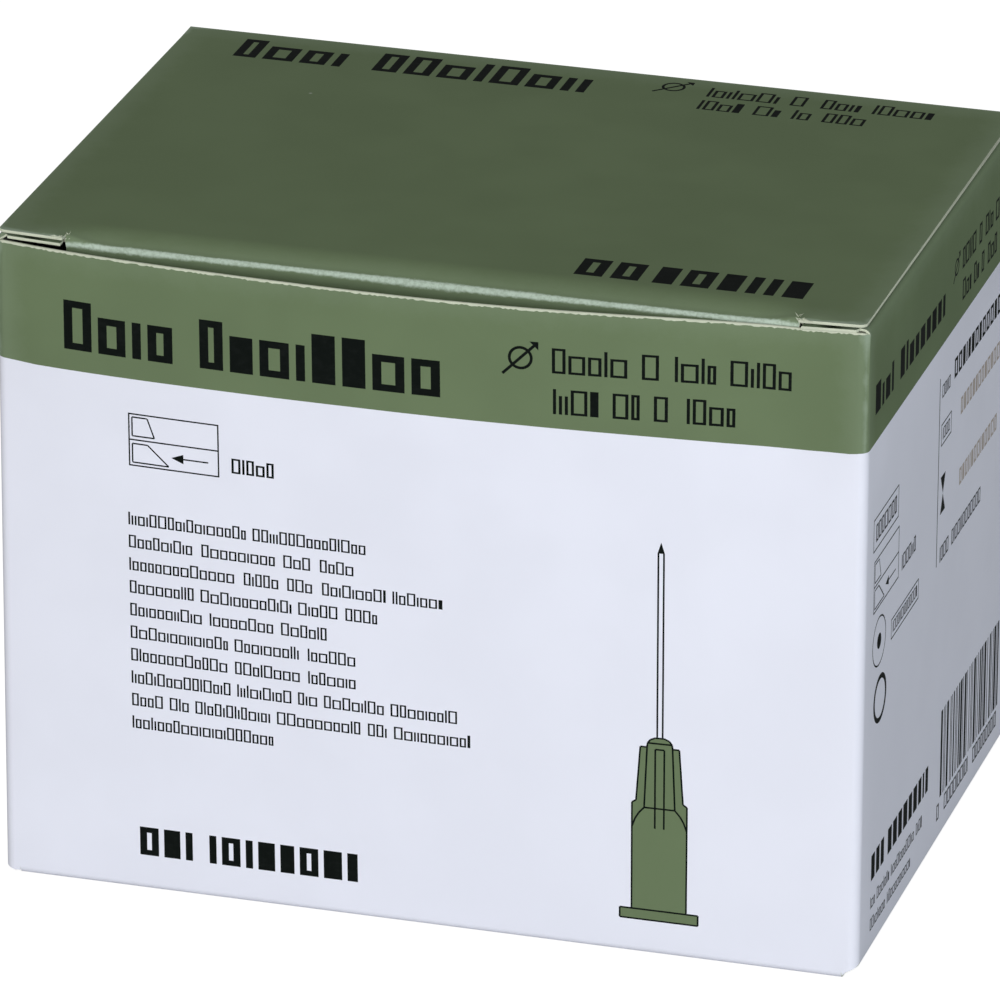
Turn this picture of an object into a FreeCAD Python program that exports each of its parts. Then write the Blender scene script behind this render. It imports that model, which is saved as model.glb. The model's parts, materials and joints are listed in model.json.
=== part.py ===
"""A folding carton with a hinged tuck lid, filled with a hundred peel packs.

The carton stands on its base, with its front panel facing -Y and its width along X.
The origin is at the middle of its bounding box, on the surface that it stands on.
All sizes are in millimetres.
"""

import FreeCAD
import Part
import math
import os
from FreeCAD import Vector

# Carton, outer sizes
width = 97.0
depth = 67.0
height = 76.0
board = 0.45

# Front panel
front_bow = 3.2
front_flat = 12.6
front_edge_drop = 1.3
worn_corner = 0.7

# Creases, as outer radii
corner_radius = 1.2
side_fold_radius = 1.5
base_fold_radius = 1.0
lid_fold_radius = 1.2

# Lid and tuck flap
lid_inset = 0.4
lid_play = 0.1
lid_corner_radius = 0.8
slit_length = 7.2
slit_play = 0.4
tuck_depth = 14.0
tuck_play = 0.3
tuck_taper = 1.5
tuck_corner_radius = 5.0

# Dust flaps under the lid
dust_flap_length = 32.0
dust_front_taper = 5.0
dust_back_taper = 8.0
dust_corner_radius = 4.0
flap_play = 0.5

# Base flaps and the glued seam
base_flap_play = 0.6
base_dust_length = 30.0
base_dust_taper = 6.0
corner_relief = 1.8
glue_flap_width = 12.0
glue_flap_taper = 4.0
seam_setback = 0.2

# Peel packs
pack_width = 16.8
pack_thickness = 6.0
pack_sheet = 0.2
pack_gap = 0.1
pack_side_gap = 0.4
pack_wall_play = 0.3
pack_front_play = 1.0
pack_head_play = 1.65
blister_width = 8.1
blister_start = 7.0
blister_end_margin = 6.0
hub_length = 13.0
sheath_width = 6.6
sheath_depth = 4.9
blister_slope = 2.0
blister_chamfer = 1.6

# Places worked out from the sizes
half_width = width / 2
front = (front_bow - depth) / 2
back = front + depth
lid_underside = height - board
flap_top = lid_underside - lid_play
front_top = height - front_edge_drop
side_fold_start = flap_top - side_fold_radius
hinge_y = back - board / 2
hinge_z = height - board / 2
tuck_radius = hinge_y - (front + board + tuck_play)
tuck_half_width = half_width - slit_length
lid_half_width = half_width - lid_inset
base_top = 3 * board
bow_span = width - 2 * corner_radius - front_flat
pack_height = height - tuck_depth - pack_head_play - base_top
pack_pitch = pack_width + pack_side_gap
layer_depth = pack_thickness + pack_sheet + 2 * pack_gap
row_space = width - 2 * board - 2 * pack_wall_play - pack_pitch / 2
packs_in_row = int((row_space + pack_side_gap) / pack_pitch)
layer_space = depth - 3 * board - pack_front_play
pack_layers = int((layer_space + pack_gap) / layer_depth)
beyond = 5.0


def line(a, b):
    return Part.LineSegment(a, b).toShape()


def arc(a, middle, b):
    return Part.Arc(a, middle, b).toShape()


def corner_arc(centre, radius, start, end):
    """A quarter turn about a vertical axis, from one angle to the other, in degrees."""
    points = []
    for angle in (start, (start + end) / 2, end):
        turn = math.radians(angle)
        points.append(centre + Vector(radius * math.cos(turn), radius * math.sin(turn), 0))
    return arc(*points)


def rounded_outline(corners):
    """A closed wire through (point, radius) corners, each rounded by its radius."""
    edges = []
    ends = []
    count = len(corners)
    for index, (point, radius) in enumerate(corners):
        before = (corners[index - 1][0] - point).normalize()
        after = (corners[(index + 1) % count][0] - point).normalize()
        half_angle = before.getAngle(after) / 2
        if radius > 0:
            reach = radius / math.tan(half_angle)
            bisector = (before + after).normalize()
            middle = point + bisector * (radius / math.sin(half_angle) - radius)
            start = point + before * reach
            end = point + after * reach
            edges.append(arc(start, middle, end))
            ends.append((start, end))
        else:
            ends.append((point, point))
    for index in range(count):
        start = ends[index][1]
        end = ends[(index + 1) % count][0]
        if (end - start).Length > 1e-6:
            edges.append(line(start, end))
    return Part.Wire(Part.__sortEdges__(edges))


def plate(corners, thickness):
    """A flat sheet over an outline, with its thickness as a vector."""
    return Part.Face(rounded_outline(corners)).extrude(thickness)


def box(low, high):
    size = high - low
    return Part.makeBox(size.x, size.y, size.z, low)


def fold(axis_point, axis, radius, start_direction, length):
    """A quarter-round crease of board that turns by the right-hand rule about its axis."""
    outer = axis_point + start_direction * radius
    inner = axis_point + start_direction * (radius - board)
    strip = line(outer, inner)
    section = strip.revolve(axis_point, axis, 90)
    return section.extrude(axis * length)


def bow_at(share):
    """How far the front panel's top edge bulges at a share of the bulging stretch."""
    return 4 * share * (1 - share) * front_bow


def front_edge(level, bow_share, inset):
    """The front panel's line at one level, from right to left, moved inwards by inset."""
    left = -half_width + corner_radius
    right = half_width - corner_radius
    y = front + inset
    points = [Vector(right, y, level)]
    for quarter in (4, 3, 2, 1, 0):
        share = quarter / 4
        points.append(Vector(left + share * bow_span, y - bow_share * bow_at(share), level))
    curve = Part.BSplineCurve()
    curve.interpolate(points)
    return curve.toShape()


def wall_side(level, bow_share, inset):
    """One face of the sheet that wraps round the box, from the back's right crease
    past the right, front and left panels to the end of the glue flap."""
    radius = corner_radius - inset
    x = half_width - corner_radius
    y_front = front + corner_radius
    y_back = back - corner_radius
    y_seam = back - board - corner_radius
    glue_end = -half_width + glue_flap_width
    right = half_width - inset
    return [
        corner_arc(Vector(x, y_back, level), radius, 90, 0),
        line(Vector(right, y_back, level), Vector(right, y_front, level)),
        corner_arc(Vector(x, y_front, level), radius, 0, -90),
        front_edge(level, bow_share, inset),
        corner_arc(Vector(-x, y_front, level), radius, -90, -180),
        line(Vector(-right, y_front, level), Vector(-right, y_seam, level)),
        corner_arc(Vector(-x, y_seam, level), radius, 180, 90),
        line(Vector(-x, y_seam + radius, level), Vector(glue_end, y_seam + radius, level)),
    ]


def wall_section(level, bow_share):
    """The cut through the wrapped sheet at one level, as a closed wire."""
    outer = wall_side(level, bow_share, 0)
    inner = wall_side(level, bow_share, board)
    start = line(outer[0].Vertexes[0].Point, inner[0].Vertexes[0].Point)
    glue_end = -half_width + glue_flap_width
    y_outer = back - board
    end = line(Vector(glue_end, y_outer, level), Vector(glue_end, y_outer - board, level))
    return Part.Wire(Part.__sortEdges__(outer + inner + [start, end]))


def wrapped_walls():
    """Right, front and left panels with the glue flap, and the bulge of the front."""
    low = wall_section(base_fold_radius, 0)
    high = wall_section(front_top, 1)
    walls = Part.makeLoft([low, high], True, True)
    reach = half_width + beyond
    side_low = 2 * board + base_fold_radius
    for side in (-1, 1):
        seat = board if side < 0 else 0
        y_end = back - seat - corner_radius
        for low_z, high_z in ((-beyond, side_low), (side_fold_start, height)):
            cutter = box(Vector(0, front + corner_radius, low_z), Vector(reach, y_end, high_z))
            if side < 0:
                cutter = cutter.mirror(Vector(0, 0, 0), Vector(1, 0, 0))
            middle = box(Vector(-half_width + board * 2, front + corner_radius, low_z),
                         Vector(half_width - board * 2, back, high_z))
            walls = walls.cut(cutter.cut(middle))
    for side in (-1, 1):
        walls = walls.cut(corner_trim(side, front, 0, corner_relief))
        walls = walls.cut(corner_trim(side, front, front_top, -worn_corner))
    walls = walls.cut(corner_trim(1, back - corner_radius, 0, corner_relief))
    return walls.cut(glue_flap_trim(1)).cut(glue_flap_trim(-1))


def corner_trim(side, y, level, rise):
    """The slanted piece that an upright crease lacks at one end, up or down by rise."""
    outside = side * (half_width + beyond)
    inside = side * (half_width - abs(rise))
    y_low = y - board
    past = level - math.copysign(beyond, rise)
    corners = [
        (Vector(inside, y_low, level), 0),
        (Vector(side * half_width, y_low, level + rise), 0),
        (Vector(outside, y_low, level + rise), 0),
        (Vector(outside, y_low, past), 0),
        (Vector(inside, y_low, past), 0),
    ]
    return plate(corners, Vector(0, corner_radius + board, 0))


def glue_flap_trim(end):
    """What the glue flap and its crease lack at the top (1) or the base (-1)."""
    x_crease = -half_width + corner_radius
    x_end = -half_width + glue_flap_width
    limit = side_fold_start if end > 0 else base_top + base_fold_radius
    slope = glue_flap_taper / (x_end - x_crease)
    x_past = x_end + beyond
    y = back - board - corner_radius
    corners = [
        (Vector(-half_width - beyond, y, limit), 0),
        (Vector(x_crease, y, limit), 0),
        (Vector(x_past, y, limit - end * slope * (x_past - x_crease)), 0),
        (Vector(x_past, y, limit + end * beyond), 0),
        (Vector(-half_width - beyond, y, limit + end * beyond), 0),
    ]
    return plate(corners, Vector(0, corner_radius, 0))


def back_panel():
    """The back panel, whose left edge is the raw edge of the glued seam."""
    low = Vector(-half_width + seam_setback, back - board, board + base_fold_radius)
    high = Vector(half_width - corner_radius, back, flap_top)
    return box(low, high)


def base_flaps():
    """The closed base: the front's flap outside, the back's over it, two short ones on top."""
    half = half_width - corner_relief
    x_axis = Vector(1, 0, 0)
    y_axis = Vector(0, 1, 0)
    crease_y = front + base_fold_radius
    outer_end = back - base_flap_play
    pieces = [
        fold(Vector(-half, crease_y, base_fold_radius), x_axis, base_fold_radius, -y_axis, 2 * half),
        box(Vector(-half, crease_y, 0), Vector(half, outer_end, board)),
    ]
    crease_y = back - base_fold_radius
    crease_z = board + base_fold_radius
    inner_end = front + board + base_flap_play
    pieces.append(fold(Vector(half, crease_y, crease_z), -x_axis, base_fold_radius, y_axis, 2 * half))
    pieces.append(box(Vector(-half, inner_end, board), Vector(half, crease_y, 2 * board)))
    for side in (-1, 1):
        pieces.extend(base_dust_flap(side))
    return pieces


def base_dust_flap(side):
    """One short flap of the base with its crease, on the right (1) or the left (-1)."""
    y_low = front + corner_radius
    y_high = back - board - corner_radius
    crease_x = side * (half_width - base_fold_radius)
    crease_z = 2 * board + base_fold_radius
    y_axis = Vector(0, 1, 0)
    out = Vector(side, 0, 0)
    start = y_low if side > 0 else y_high
    crease = fold(Vector(crease_x, start, crease_z), y_axis * side, base_fold_radius, out, y_high - y_low)
    x_end = side * (half_width - base_dust_length)
    level = 2 * board
    corners = [
        (Vector(crease_x, y_low, level), 0),
        (Vector(x_end, y_low + base_dust_taper, level), dust_corner_radius),
        (Vector(x_end, y_high - base_dust_taper, level), dust_corner_radius),
        (Vector(crease_x, y_high, level), 0),
    ]
    return [crease, plate(corners, Vector(0, 0, board))]


def dust_flap(side):
    """One flap under the lid, with the shoulder at its front that the lid's slit leaves room
    for, on the right (1) or the left (-1)."""
    y_low = front + corner_radius
    y_high = back - board - corner_radius
    crease_x = side * (half_width - side_fold_radius)
    y_axis = Vector(0, 1, 0)
    out = Vector(side, 0, 0)
    start = y_high if side > 0 else y_low
    crease = fold(Vector(crease_x, start, side_fold_start), -y_axis * side, side_fold_radius, out,
                  y_high - y_low)
    shoulder_x = side * (tuck_half_width + slit_play)
    x_end = side * (half_width - dust_flap_length)
    y_notch = hinge_y - tuck_radius + board + tuck_play
    y_back = back - board - flap_play
    level = flap_top - board
    corners = [
        (Vector(crease_x, front + lid_play, level), 0),
        (Vector(shoulder_x, front + lid_play, level), 0),
        (Vector(shoulder_x, y_notch, level), 0),
        (Vector(x_end, y_notch + dust_front_taper, level), dust_corner_radius),
        (Vector(x_end, y_back - dust_back_taper, level), dust_corner_radius),
        (Vector(crease_x, y_back, level), 0),
    ]
    return [crease, plate(corners, Vector(0, 0, board))]


def carton_body():
    """The folded and glued board without its lid, as one solid."""
    body = wrapped_walls()
    others = [back_panel()] + base_flaps()
    for side in (-1, 1):
        others.extend(dust_flap(side))
    return body.fuse(others).removeSplitter()


def tuck_profile():
    """The section of the lid's front crease and tuck flap. The flap follows a circle about
    the hinge, so that it slides up behind the front panel as the lid opens."""
    hinge = Vector(0, hinge_y, hinge_z)
    crease_z = height - lid_fold_radius
    reach = tuck_radius - lid_fold_radius
    crease_y = hinge_y - math.sqrt(reach ** 2 - (crease_z - hinge_z) ** 2)
    crease = Vector(0, crease_y, crease_z)
    tangent = (crease - hinge).normalize()
    low_angle = math.asin((hinge_z - (height - tuck_depth - beyond)) / tuck_radius)
    high_angle = math.asin(-tangent.z)
    outlines = []
    for radius, fold_radius in ((tuck_radius, lid_fold_radius), (tuck_radius - board, lid_fold_radius - board)):
        on_circle = []
        for angle in (high_angle, (high_angle + low_angle) / 2, low_angle):
            on_circle.append(hinge - Vector(0, radius * math.cos(angle), radius * math.sin(angle)))
        top = crease + Vector(0, 0, fold_radius)
        middle = crease + (tangent + Vector(0, 0, 1)).normalize() * fold_radius
        outlines.append((arc(top, middle, on_circle[0]), arc(*on_circle), top, on_circle[2]))
    outer, inner = outlines
    edges = [outer[0], outer[1], inner[0], inner[1], line(outer[2], inner[2]), line(outer[3], inner[3])]
    return Part.Face(Part.Wire(Part.__sortEdges__(edges))), crease_y


def lid():
    """The lid with its tuck flap. Its front edge is creased between two slits, and raw
    outside them, where it reaches over the front panel."""
    profile, crease_y = tuck_profile()
    profile.translate(Vector(-tuck_half_width, 0, 0))
    flap = profile.extrude(Vector(2 * tuck_half_width, 0, 0))
    tip = tuck_half_width - tuck_taper
    level = height - tuck_depth
    outline = [
        (Vector(-tuck_half_width, front - beyond, height + beyond), 0),
        (Vector(tuck_half_width, front - beyond, height + beyond), 0),
        (Vector(tuck_half_width, front - beyond, lid_underside - lid_fold_radius), 0),
        (Vector(tip, front - beyond, level), tuck_corner_radius),
        (Vector(-tip, front - beyond, level), tuck_corner_radius),
        (Vector(-tuck_half_width, front - beyond, lid_underside - lid_fold_radius), 0),
    ]
    flap = flap.common(plate(outline, Vector(0, 4 * beyond, 0)))
    corners = [
        (Vector(lid_half_width, hinge_y, lid_underside), 0),
        (Vector(-lid_half_width, hinge_y, lid_underside), 0),
        (Vector(-lid_half_width, front, lid_underside), lid_corner_radius),
        (Vector(-tuck_half_width, front, lid_underside), 0),
        (Vector(-tuck_half_width, crease_y, lid_underside), 0),
        (Vector(tuck_half_width, crease_y, lid_underside), 0),
        (Vector(tuck_half_width, front, lid_underside), 0),
        (Vector(lid_half_width, front, lid_underside), lid_corner_radius),
    ]
    top = plate(corners, Vector(0, 0, board))
    rear = Part.makeCylinder(board / 2, 2 * lid_half_width, Vector(-lid_half_width, hinge_y, hinge_z), Vector(1, 0, 0))
    return top.fuse([flap, rear]).removeSplitter()


def blister_section(level, section_width, section_depth):
    """The corners of a box with two chamfers on the pack's sheet, at one level."""
    half = section_width / 2
    shoulder = half - blister_chamfer
    rise = section_depth - blister_chamfer
    return [
        Vector(-half, pack_sheet, level),
        Vector(-half, rise, level),
        Vector(-shoulder, section_depth, level),
        Vector(shoulder, section_depth, level),
        Vector(half, rise, level),
        Vector(half, pack_sheet, level),
    ]


def flat_face(points):
    return Part.Face(Part.makePolygon(points + points[:1]))


def faceted_solid(sections):
    """A solid of flat faces through sections with the same number of corners."""
    faces = [flat_face(sections[0]), flat_face(sections[-1])]
    count = len(sections[0])
    for low, high in zip(sections, sections[1:]):
        for index in range(count):
            after = (index + 1) % count
            faces.append(flat_face([low[index], low[after], high[after], high[index]]))
    solid = Part.Solid(Part.Shell(faces))
    if solid.Volume < 0:
        solid.reverse()
    return solid


def peel_pack():
    """One pack: a flat sealed sheet with the blister of a needle in its sheath. The sheet's
    back is at y = 0, its base at z = 0, and the blister stands out towards +Y."""
    sheet = box(Vector(-pack_width / 2, 0, 0), Vector(pack_width / 2, pack_sheet, pack_height))
    hub_end = blister_start + blister_slope + hub_length
    sheath_end = pack_height - blister_end_margin - blister_slope
    ends = blister_chamfer * 2
    sections = [
        blister_section(blister_start, sheath_width, ends),
        blister_section(blister_start + blister_slope, blister_width, pack_thickness),
        blister_section(hub_end, blister_width, pack_thickness),
        blister_section(sheath_end, sheath_width, sheath_depth),
        blister_section(sheath_end + blister_slope, sheath_width, ends),
    ]
    return sheet.fuse(faceted_solid(sections)).removeSplitter()


def pack_row(row):
    """Packs side by side. Every second row faces the one before it, turned end for end,
    with its blisters in the spaces between the others'."""
    shift = -pack_pitch / 4 if row % 2 == 0 else pack_pitch / 4
    y = front + board + pack_front_play + (row // 2) * layer_depth
    packs = []
    for place in range(packs_in_row):
        pack = peel_pack()
        if row % 2 == 1:
            pack.rotate(Vector(0, 0, pack_height / 2), Vector(1, 0, 0), 180)
            pack.translate(Vector(0, layer_depth - pack_gap, 0))
        x = (place - (packs_in_row - 1) / 2) * pack_pitch + shift
        pack.translate(Vector(x, y, base_top))
        packs.append(pack)
    return Part.makeCompound(packs)


def write(name, shape):
    shape.exportStep(os.path.join("parts", name + ".step"))


os.makedirs("parts", exist_ok=True)
write("carton_body", carton_body())
write("lid", lid())
for row in range(2 * pack_layers):
    write("needle_packs_row_%02d" % (row + 1), pack_row(row))
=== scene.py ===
"""A folding carton that holds a hundred hypodermic needles, each in its own peel pack.

The carton is made as its maker makes it. A flat blank is printed and cut, and then it is creased
and folded: each blank below has an outline and its print in flat millimetres, and a function that
says where a point of it comes to lie. The peel packs are repeated by Geometry Nodes.
"""

import json
import math
import random

import bpy
import numpy as np
from bpy.props import FloatProperty, FloatVectorProperty, IntProperty, PointerProperty
from mathutils import Matrix, Vector
from mathutils.geometry import delaunay_2d_cdt


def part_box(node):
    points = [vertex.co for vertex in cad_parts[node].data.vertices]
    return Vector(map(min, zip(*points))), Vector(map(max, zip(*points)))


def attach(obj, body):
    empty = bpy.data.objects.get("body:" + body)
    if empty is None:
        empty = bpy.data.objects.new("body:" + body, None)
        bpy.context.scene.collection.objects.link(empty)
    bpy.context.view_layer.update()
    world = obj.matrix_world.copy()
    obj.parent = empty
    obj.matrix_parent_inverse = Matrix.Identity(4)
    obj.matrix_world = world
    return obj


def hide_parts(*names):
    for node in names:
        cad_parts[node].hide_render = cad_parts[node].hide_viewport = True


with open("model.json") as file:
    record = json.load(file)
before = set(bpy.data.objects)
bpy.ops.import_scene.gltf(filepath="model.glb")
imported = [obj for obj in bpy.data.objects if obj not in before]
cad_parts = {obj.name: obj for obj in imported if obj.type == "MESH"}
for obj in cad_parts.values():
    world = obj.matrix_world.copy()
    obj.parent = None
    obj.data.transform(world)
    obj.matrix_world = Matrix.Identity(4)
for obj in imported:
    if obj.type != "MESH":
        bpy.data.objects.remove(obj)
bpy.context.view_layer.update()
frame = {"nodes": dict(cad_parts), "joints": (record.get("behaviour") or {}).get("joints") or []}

bl_info = {
    "name": "Needle Carton",
    "version": (1, 0, 0),
    "blender": (4, 5, 0),
    "location": "View3D > Sidebar > Carton",
    "description": "A printed folding carton with a tuck lid and a hundred needle packs",
    "category": "Object",
}

MM = 0.001
TOUCH = 0.001
RIM_ROOM = 0.2
FLOOR_GAP = 0.02


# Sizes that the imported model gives, in millimetres

def corners_in_mm(node):
    low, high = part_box(node)
    return low / MM, high / MM


BODY_HIGH = corners_in_mm("carton_body")[1]
LID_LOW, LID_HIGH = corners_in_mm("lid")
HINGE = Vector(frame["joints"][0]["pos_m"]) / MM
PACK_ROWS = sorted(name for name in frame["nodes"] if name.startswith("needle_packs_row_"))
PACK_LOW, PACK_HIGH = corners_in_mm(PACK_ROWS[0])
PACK_HEIGHT = PACK_HIGH.z - PACK_LOW.z
HALF_WIDTH = BODY_HIGH.x
FRONT = LID_LOW.y
BACK = BODY_HIGH.y
HEIGHT = LID_HIGH.z
FLAP_TOP = BODY_HIGH.z
BOARD = 2 * (HEIGHT - HINGE.z)
LID_PLAY = HEIGHT - BOARD - FLAP_TOP


# Settings

def length_prop(label, about, millimetres, least=0.0):
    return FloatProperty(name=label, description=about, default=millimetres * MM, min=least * MM,
                         unit="LENGTH")


def colour_prop(label, about, *channels):
    return FloatVectorProperty(name=label, description=about, default=channels, size=3, min=0.0, max=1.0,
                               subtype="COLOR")


def angle_prop(label, about, degrees):
    return FloatProperty(name=label, description=about, default=math.radians(degrees), subtype="ANGLE")


def amount_prop(label, about, value, least=0.0):
    return FloatProperty(name=label, description=about, default=value, min=least)


class CartonSettings(bpy.types.PropertyGroup):
    """Creases, cuts and inks of the carton."""

    corner_radius: length_prop("Corner Crease", "Outer radius of the upright creases", 1.2, 0.6)
    side_fold_radius: length_prop("Dust Flap Crease", "Outer radius of the dust flaps' creases", 0.9, 0.6)
    base_fold_radius: length_prop("Base Crease", "Outer radius of the creases round the base", 1.0, 0.6)
    lid_fold_radius: length_prop("Lid Crease", "Outer radius of the tuck flap's crease", 0.7, 0.6)
    front_drop: length_prop("Front Edge Drop", "How far the front panel ends below the lid's top", 1.3, 0.5)
    front_bow: length_prop("Front Bow", "How far the front panel's top edge bulges", 3.2)
    front_flat: length_prop("Front Flat", "Straight stretch at the right of the front's top edge", 12.6)
    slit_length: length_prop("Slit", "Length of each slit beside the tuck flap", 7.8, 1.0)
    board: length_prop("Board", "Thickness of the board, as its cut edges show it", 0.32, 0.1)
    lid_sag: length_prop("Lid Sag", "How far the lid bends down towards its front crease", 1.0)
    fibre_length: length_prop("Torn Fibres", "Length of the fibres at the ends of the slits", 0.55, 0.1)
    band_level: length_prop("Band Level", "Height at which the printed band begins", 61.4, 1.0)
    white_stock: colour_prop("White Stock", "Coated side of the board", 0.80, 0.815, 0.905)
    band_ink: colour_prop("Band Ink", "Ink of the band and the lid", 0.146, 0.198, 0.1065)
    dark_ink: colour_prop("Dark Ink", "Ink of the bars, rules and drawings", 0.006, 0.008, 0.007)
    inner_board: colour_prop("Inner Board", "Uncoated inside of the board", 0.60, 0.585, 0.545)
    raw_edge: colour_prop("Raw Edge", "Cut edge of the board", 0.60, 0.64, 0.50)
    # This colour is also painted as a highlight along the creases and on the lid's fold
    worn_ink_and_sheen: colour_prop("Worn Ink", "Ink where a crease has rubbed it thin", 0.50, 0.60, 0.50)


class PackSettings(bpy.types.PropertyGroup):
    """The peel packs and the needles in them."""

    columns: IntProperty(name="Packs in a Row", description="Packs side by side", default=5, min=1)
    layers: IntProperty(name="Layers", description="Pairs of facing rows", default=10, min=1)
    pitch: length_prop("Pack Pitch", "Step from one pack to the next in a row", 17.2, 5)
    layer_pitch: length_prop("Layer Pitch", "Step from one pair of facing rows to the next", 6.4, 2)
    width: length_prop("Pack Width", "Width of a pack's paper", 16.8, 5)
    paper: length_prop("Paper", "Thickness of the sealed sheet", 0.2, 0.02)
    film: length_prop("Film", "Thickness of the formed film", 0.12, 0.02)
    hub_radius: length_prop("Hub Radius", "Radius of the needle's hub at its collar", 2.35, 0.5)
    sheath_radius: length_prop("Sheath Radius", "Radius of the sheath over the needle", 1.9, 0.4)
    needle_radius: length_prop("Needle Radius", "Radius of the steel needle", 0.2, 0.05)
    paper_colour: colour_prop("Paper Colour", "Sealing paper", 0.78, 0.79, 0.80)
    film_colour: colour_prop("Film Colour", "Clear formed film", 0.86, 0.90, 0.93)
    hub_colour: colour_prop("Hub Colour", "Moulded plastic of the hub", 0.20, 0.24, 0.17)
    sheath_colour: colour_prop("Sheath Colour", "Milky plastic of the sheath", 0.74, 0.76, 0.77)
    steel_colour: colour_prop("Steel Colour", "Drawn steel of the needle", 0.62, 0.63, 0.64)


class StageSettings(bpy.types.PropertyGroup):
    """Camera, lamps and floor."""

    camera_azimuth: angle_prop("Azimuth", "Camera's turn to the right of the front", 16.361)
    camera_elevation: angle_prop("Elevation", "Camera's height above level", 22.646)
    camera_roll: angle_prop("Roll", "Camera's turn about its own view", 0.242)
    camera_target: FloatVectorProperty(
        name="Target", description="Point that the camera faces", subtype="XYZ", unit="LENGTH",
        size=3, default=(2.60 * MM, -12.79 * MM, 43.04 * MM))
    camera_distance: length_prop("Distance", "Camera's distance from its target", 1075, 100)
    lens: amount_prop("Lens", "Focal length in millimetres", 355.1, 10.0)
    key_power: amount_prop("Key Light", "Power of the soft light beside the camera, in watts", 14.7)
    fill_power: amount_prop("Fill Light", "Power of the soft light at the right, in watts", 0.9)
    ambient: amount_prop("Ambient", "Strength of the light from all round", 0.37)
    floor_colour: colour_prop("Floor Colour", "Pale studio floor", 0.46, 0.46, 0.46)


# Shapes

def left_of(direction):
    """A flat direction turned left by a right angle."""
    return Vector((-direction.y, direction.x))


def smooth_step(share):
    """0 below 0, 1 above 1 and a smooth rise between."""
    share = min(max(share, 0.0), 1.0)
    return share * share * (3 - 2 * share)


def evenly(start, span, count):
    """Places along a span that divide it in equal steps, with both of its ends."""
    return [start + span * step / count for step in range(count + 1)]


def mirrored(points):
    """A line of points that goes on round the other side."""
    return points + [(-x, *rest) for x, *rest in reversed(points)]


def levels(first, last, heights):
    """Level lines from first to last."""
    return [[(first, height), (last, height)] for height in heights]


def uprights(low, high, places):
    """Upright lines from low to high."""
    return [[(place, low), (place, high)] for place in places]


def rounded(corners, steps=6):
    """An outline through (x, y) corners that stay sharp and (x, y, radius) corners."""
    outline = []
    for index, (x, y, *radius) in enumerate(corners):
        point = Vector((x, y))
        if not radius:
            outline.append(point)
            continue
        radius = radius[0]
        before = (Vector(corners[index - 1][:2]) - point).normalized()
        after = (Vector(corners[(index + 1) % len(corners)][:2]) - point).normalized()
        half = before.angle(after) / 2
        centre = point + (before + after).normalized() * radius / math.sin(half)
        start = point + before * radius / math.tan(half) - centre
        turn = start.angle_signed(point + after * radius / math.tan(half) - centre)
        outline += [centre + Matrix.Rotation(angle, 2) @ start for angle in evenly(0, -turn, steps)]
    return outline


def joined(parts):
    """Several (verts, faces) as one."""
    verts = []
    faces = []
    for some_verts, some_faces in parts:
        faces += [tuple(len(verts) + index for index in face) for face in some_faces]
        verts += some_verts
    return verts, faces


def fibre(root, along, up, length, width):
    """A thin three-sided sliver of torn board that lifts off as it runs out to its point."""
    side = along.cross(up)
    verts = []
    for share, size in ((0.0, 1.0), (0.55, 0.7)):
        centre = root + along * length * share + up * length * 0.5 * share ** 2
        verts += [centre + side * width * size, centre - side * width * size, centre + up * width * size]
    verts.append(root + along * length + up * length * 0.5)
    faces = [(0, 2, 1)]
    for index, after in ((0, 1), (1, 2), (2, 0)):
        faces += [(index, after, 3 + after, 3 + index), (3 + index, 3 + after, 6)]
    return verts, faces


def finished_mesh(name, verts, faces, materials, sharp_angle=50.0, cut=()):
    """A smooth-shaded mesh from millimetres, with one material for each face. The edges in
    cut stay sharp, as pairs of vertices, and so do all that turn by more than the angle."""
    mesh = bpy.data.meshes.new(name)
    mesh.from_pydata([tuple(Vector(v) * MM) for v in verts], [], faces)
    kinds = list(dict.fromkeys(materials))
    for material in kinds:
        mesh.materials.append(material)
    mesh.polygons.foreach_set("material_index", [kinds.index(material) for material in materials])
    mesh.polygons.foreach_set("use_smooth", [True] * len(faces))
    mesh.update()
    mesh.set_sharp_from_angle(angle=math.radians(sharp_angle))
    sharp = {frozenset(pair) for pair in cut}
    for edge in mesh.edges:
        if frozenset(edge.vertices) in sharp:
            edge.use_edge_sharp = True
    return mesh


def add_object(name, data):
    item = bpy.data.objects.new(name, data)
    bpy.context.scene.collection.objects.link(item)
    return item


def add_piece(name, mesh, body, replaced):
    """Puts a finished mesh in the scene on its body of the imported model."""
    piece = add_object(name, mesh)
    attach(piece, body)
    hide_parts(*replaced)


# Folding

class Run:
    """A line of straight stretches and left turns that the outside of the board follows."""

    def __init__(self, start, heading, stretches):
        self.parts = []
        self.length = 0.0
        point = Vector(start)
        for length, radius in stretches:
            self.parts.append((self.length, radius, point, heading))
            point, _ = self._along(self.parts[-1], length)
            heading += length / radius if radius else 0.0
            self.length += length

    @staticmethod
    def _along(part, travelled):
        _, radius, point, heading = part
        outward = Vector((math.sin(heading), -math.cos(heading)))
        if not radius:
            return point + left_of(outward) * travelled, outward
        heading += travelled / radius
        turned = Vector((math.sin(heading), -math.cos(heading)))
        return point - outward * radius + turned * radius, turned

    def start_of(self, index):
        return self.parts[index][0]

    def at(self, distance):
        """The point at a distance along the run, and the direction out of the board there."""
        part = ([part for part in self.parts if distance >= part[0]] or self.parts[:1])[-1]
        return self._along(part, distance - part[0])


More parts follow.
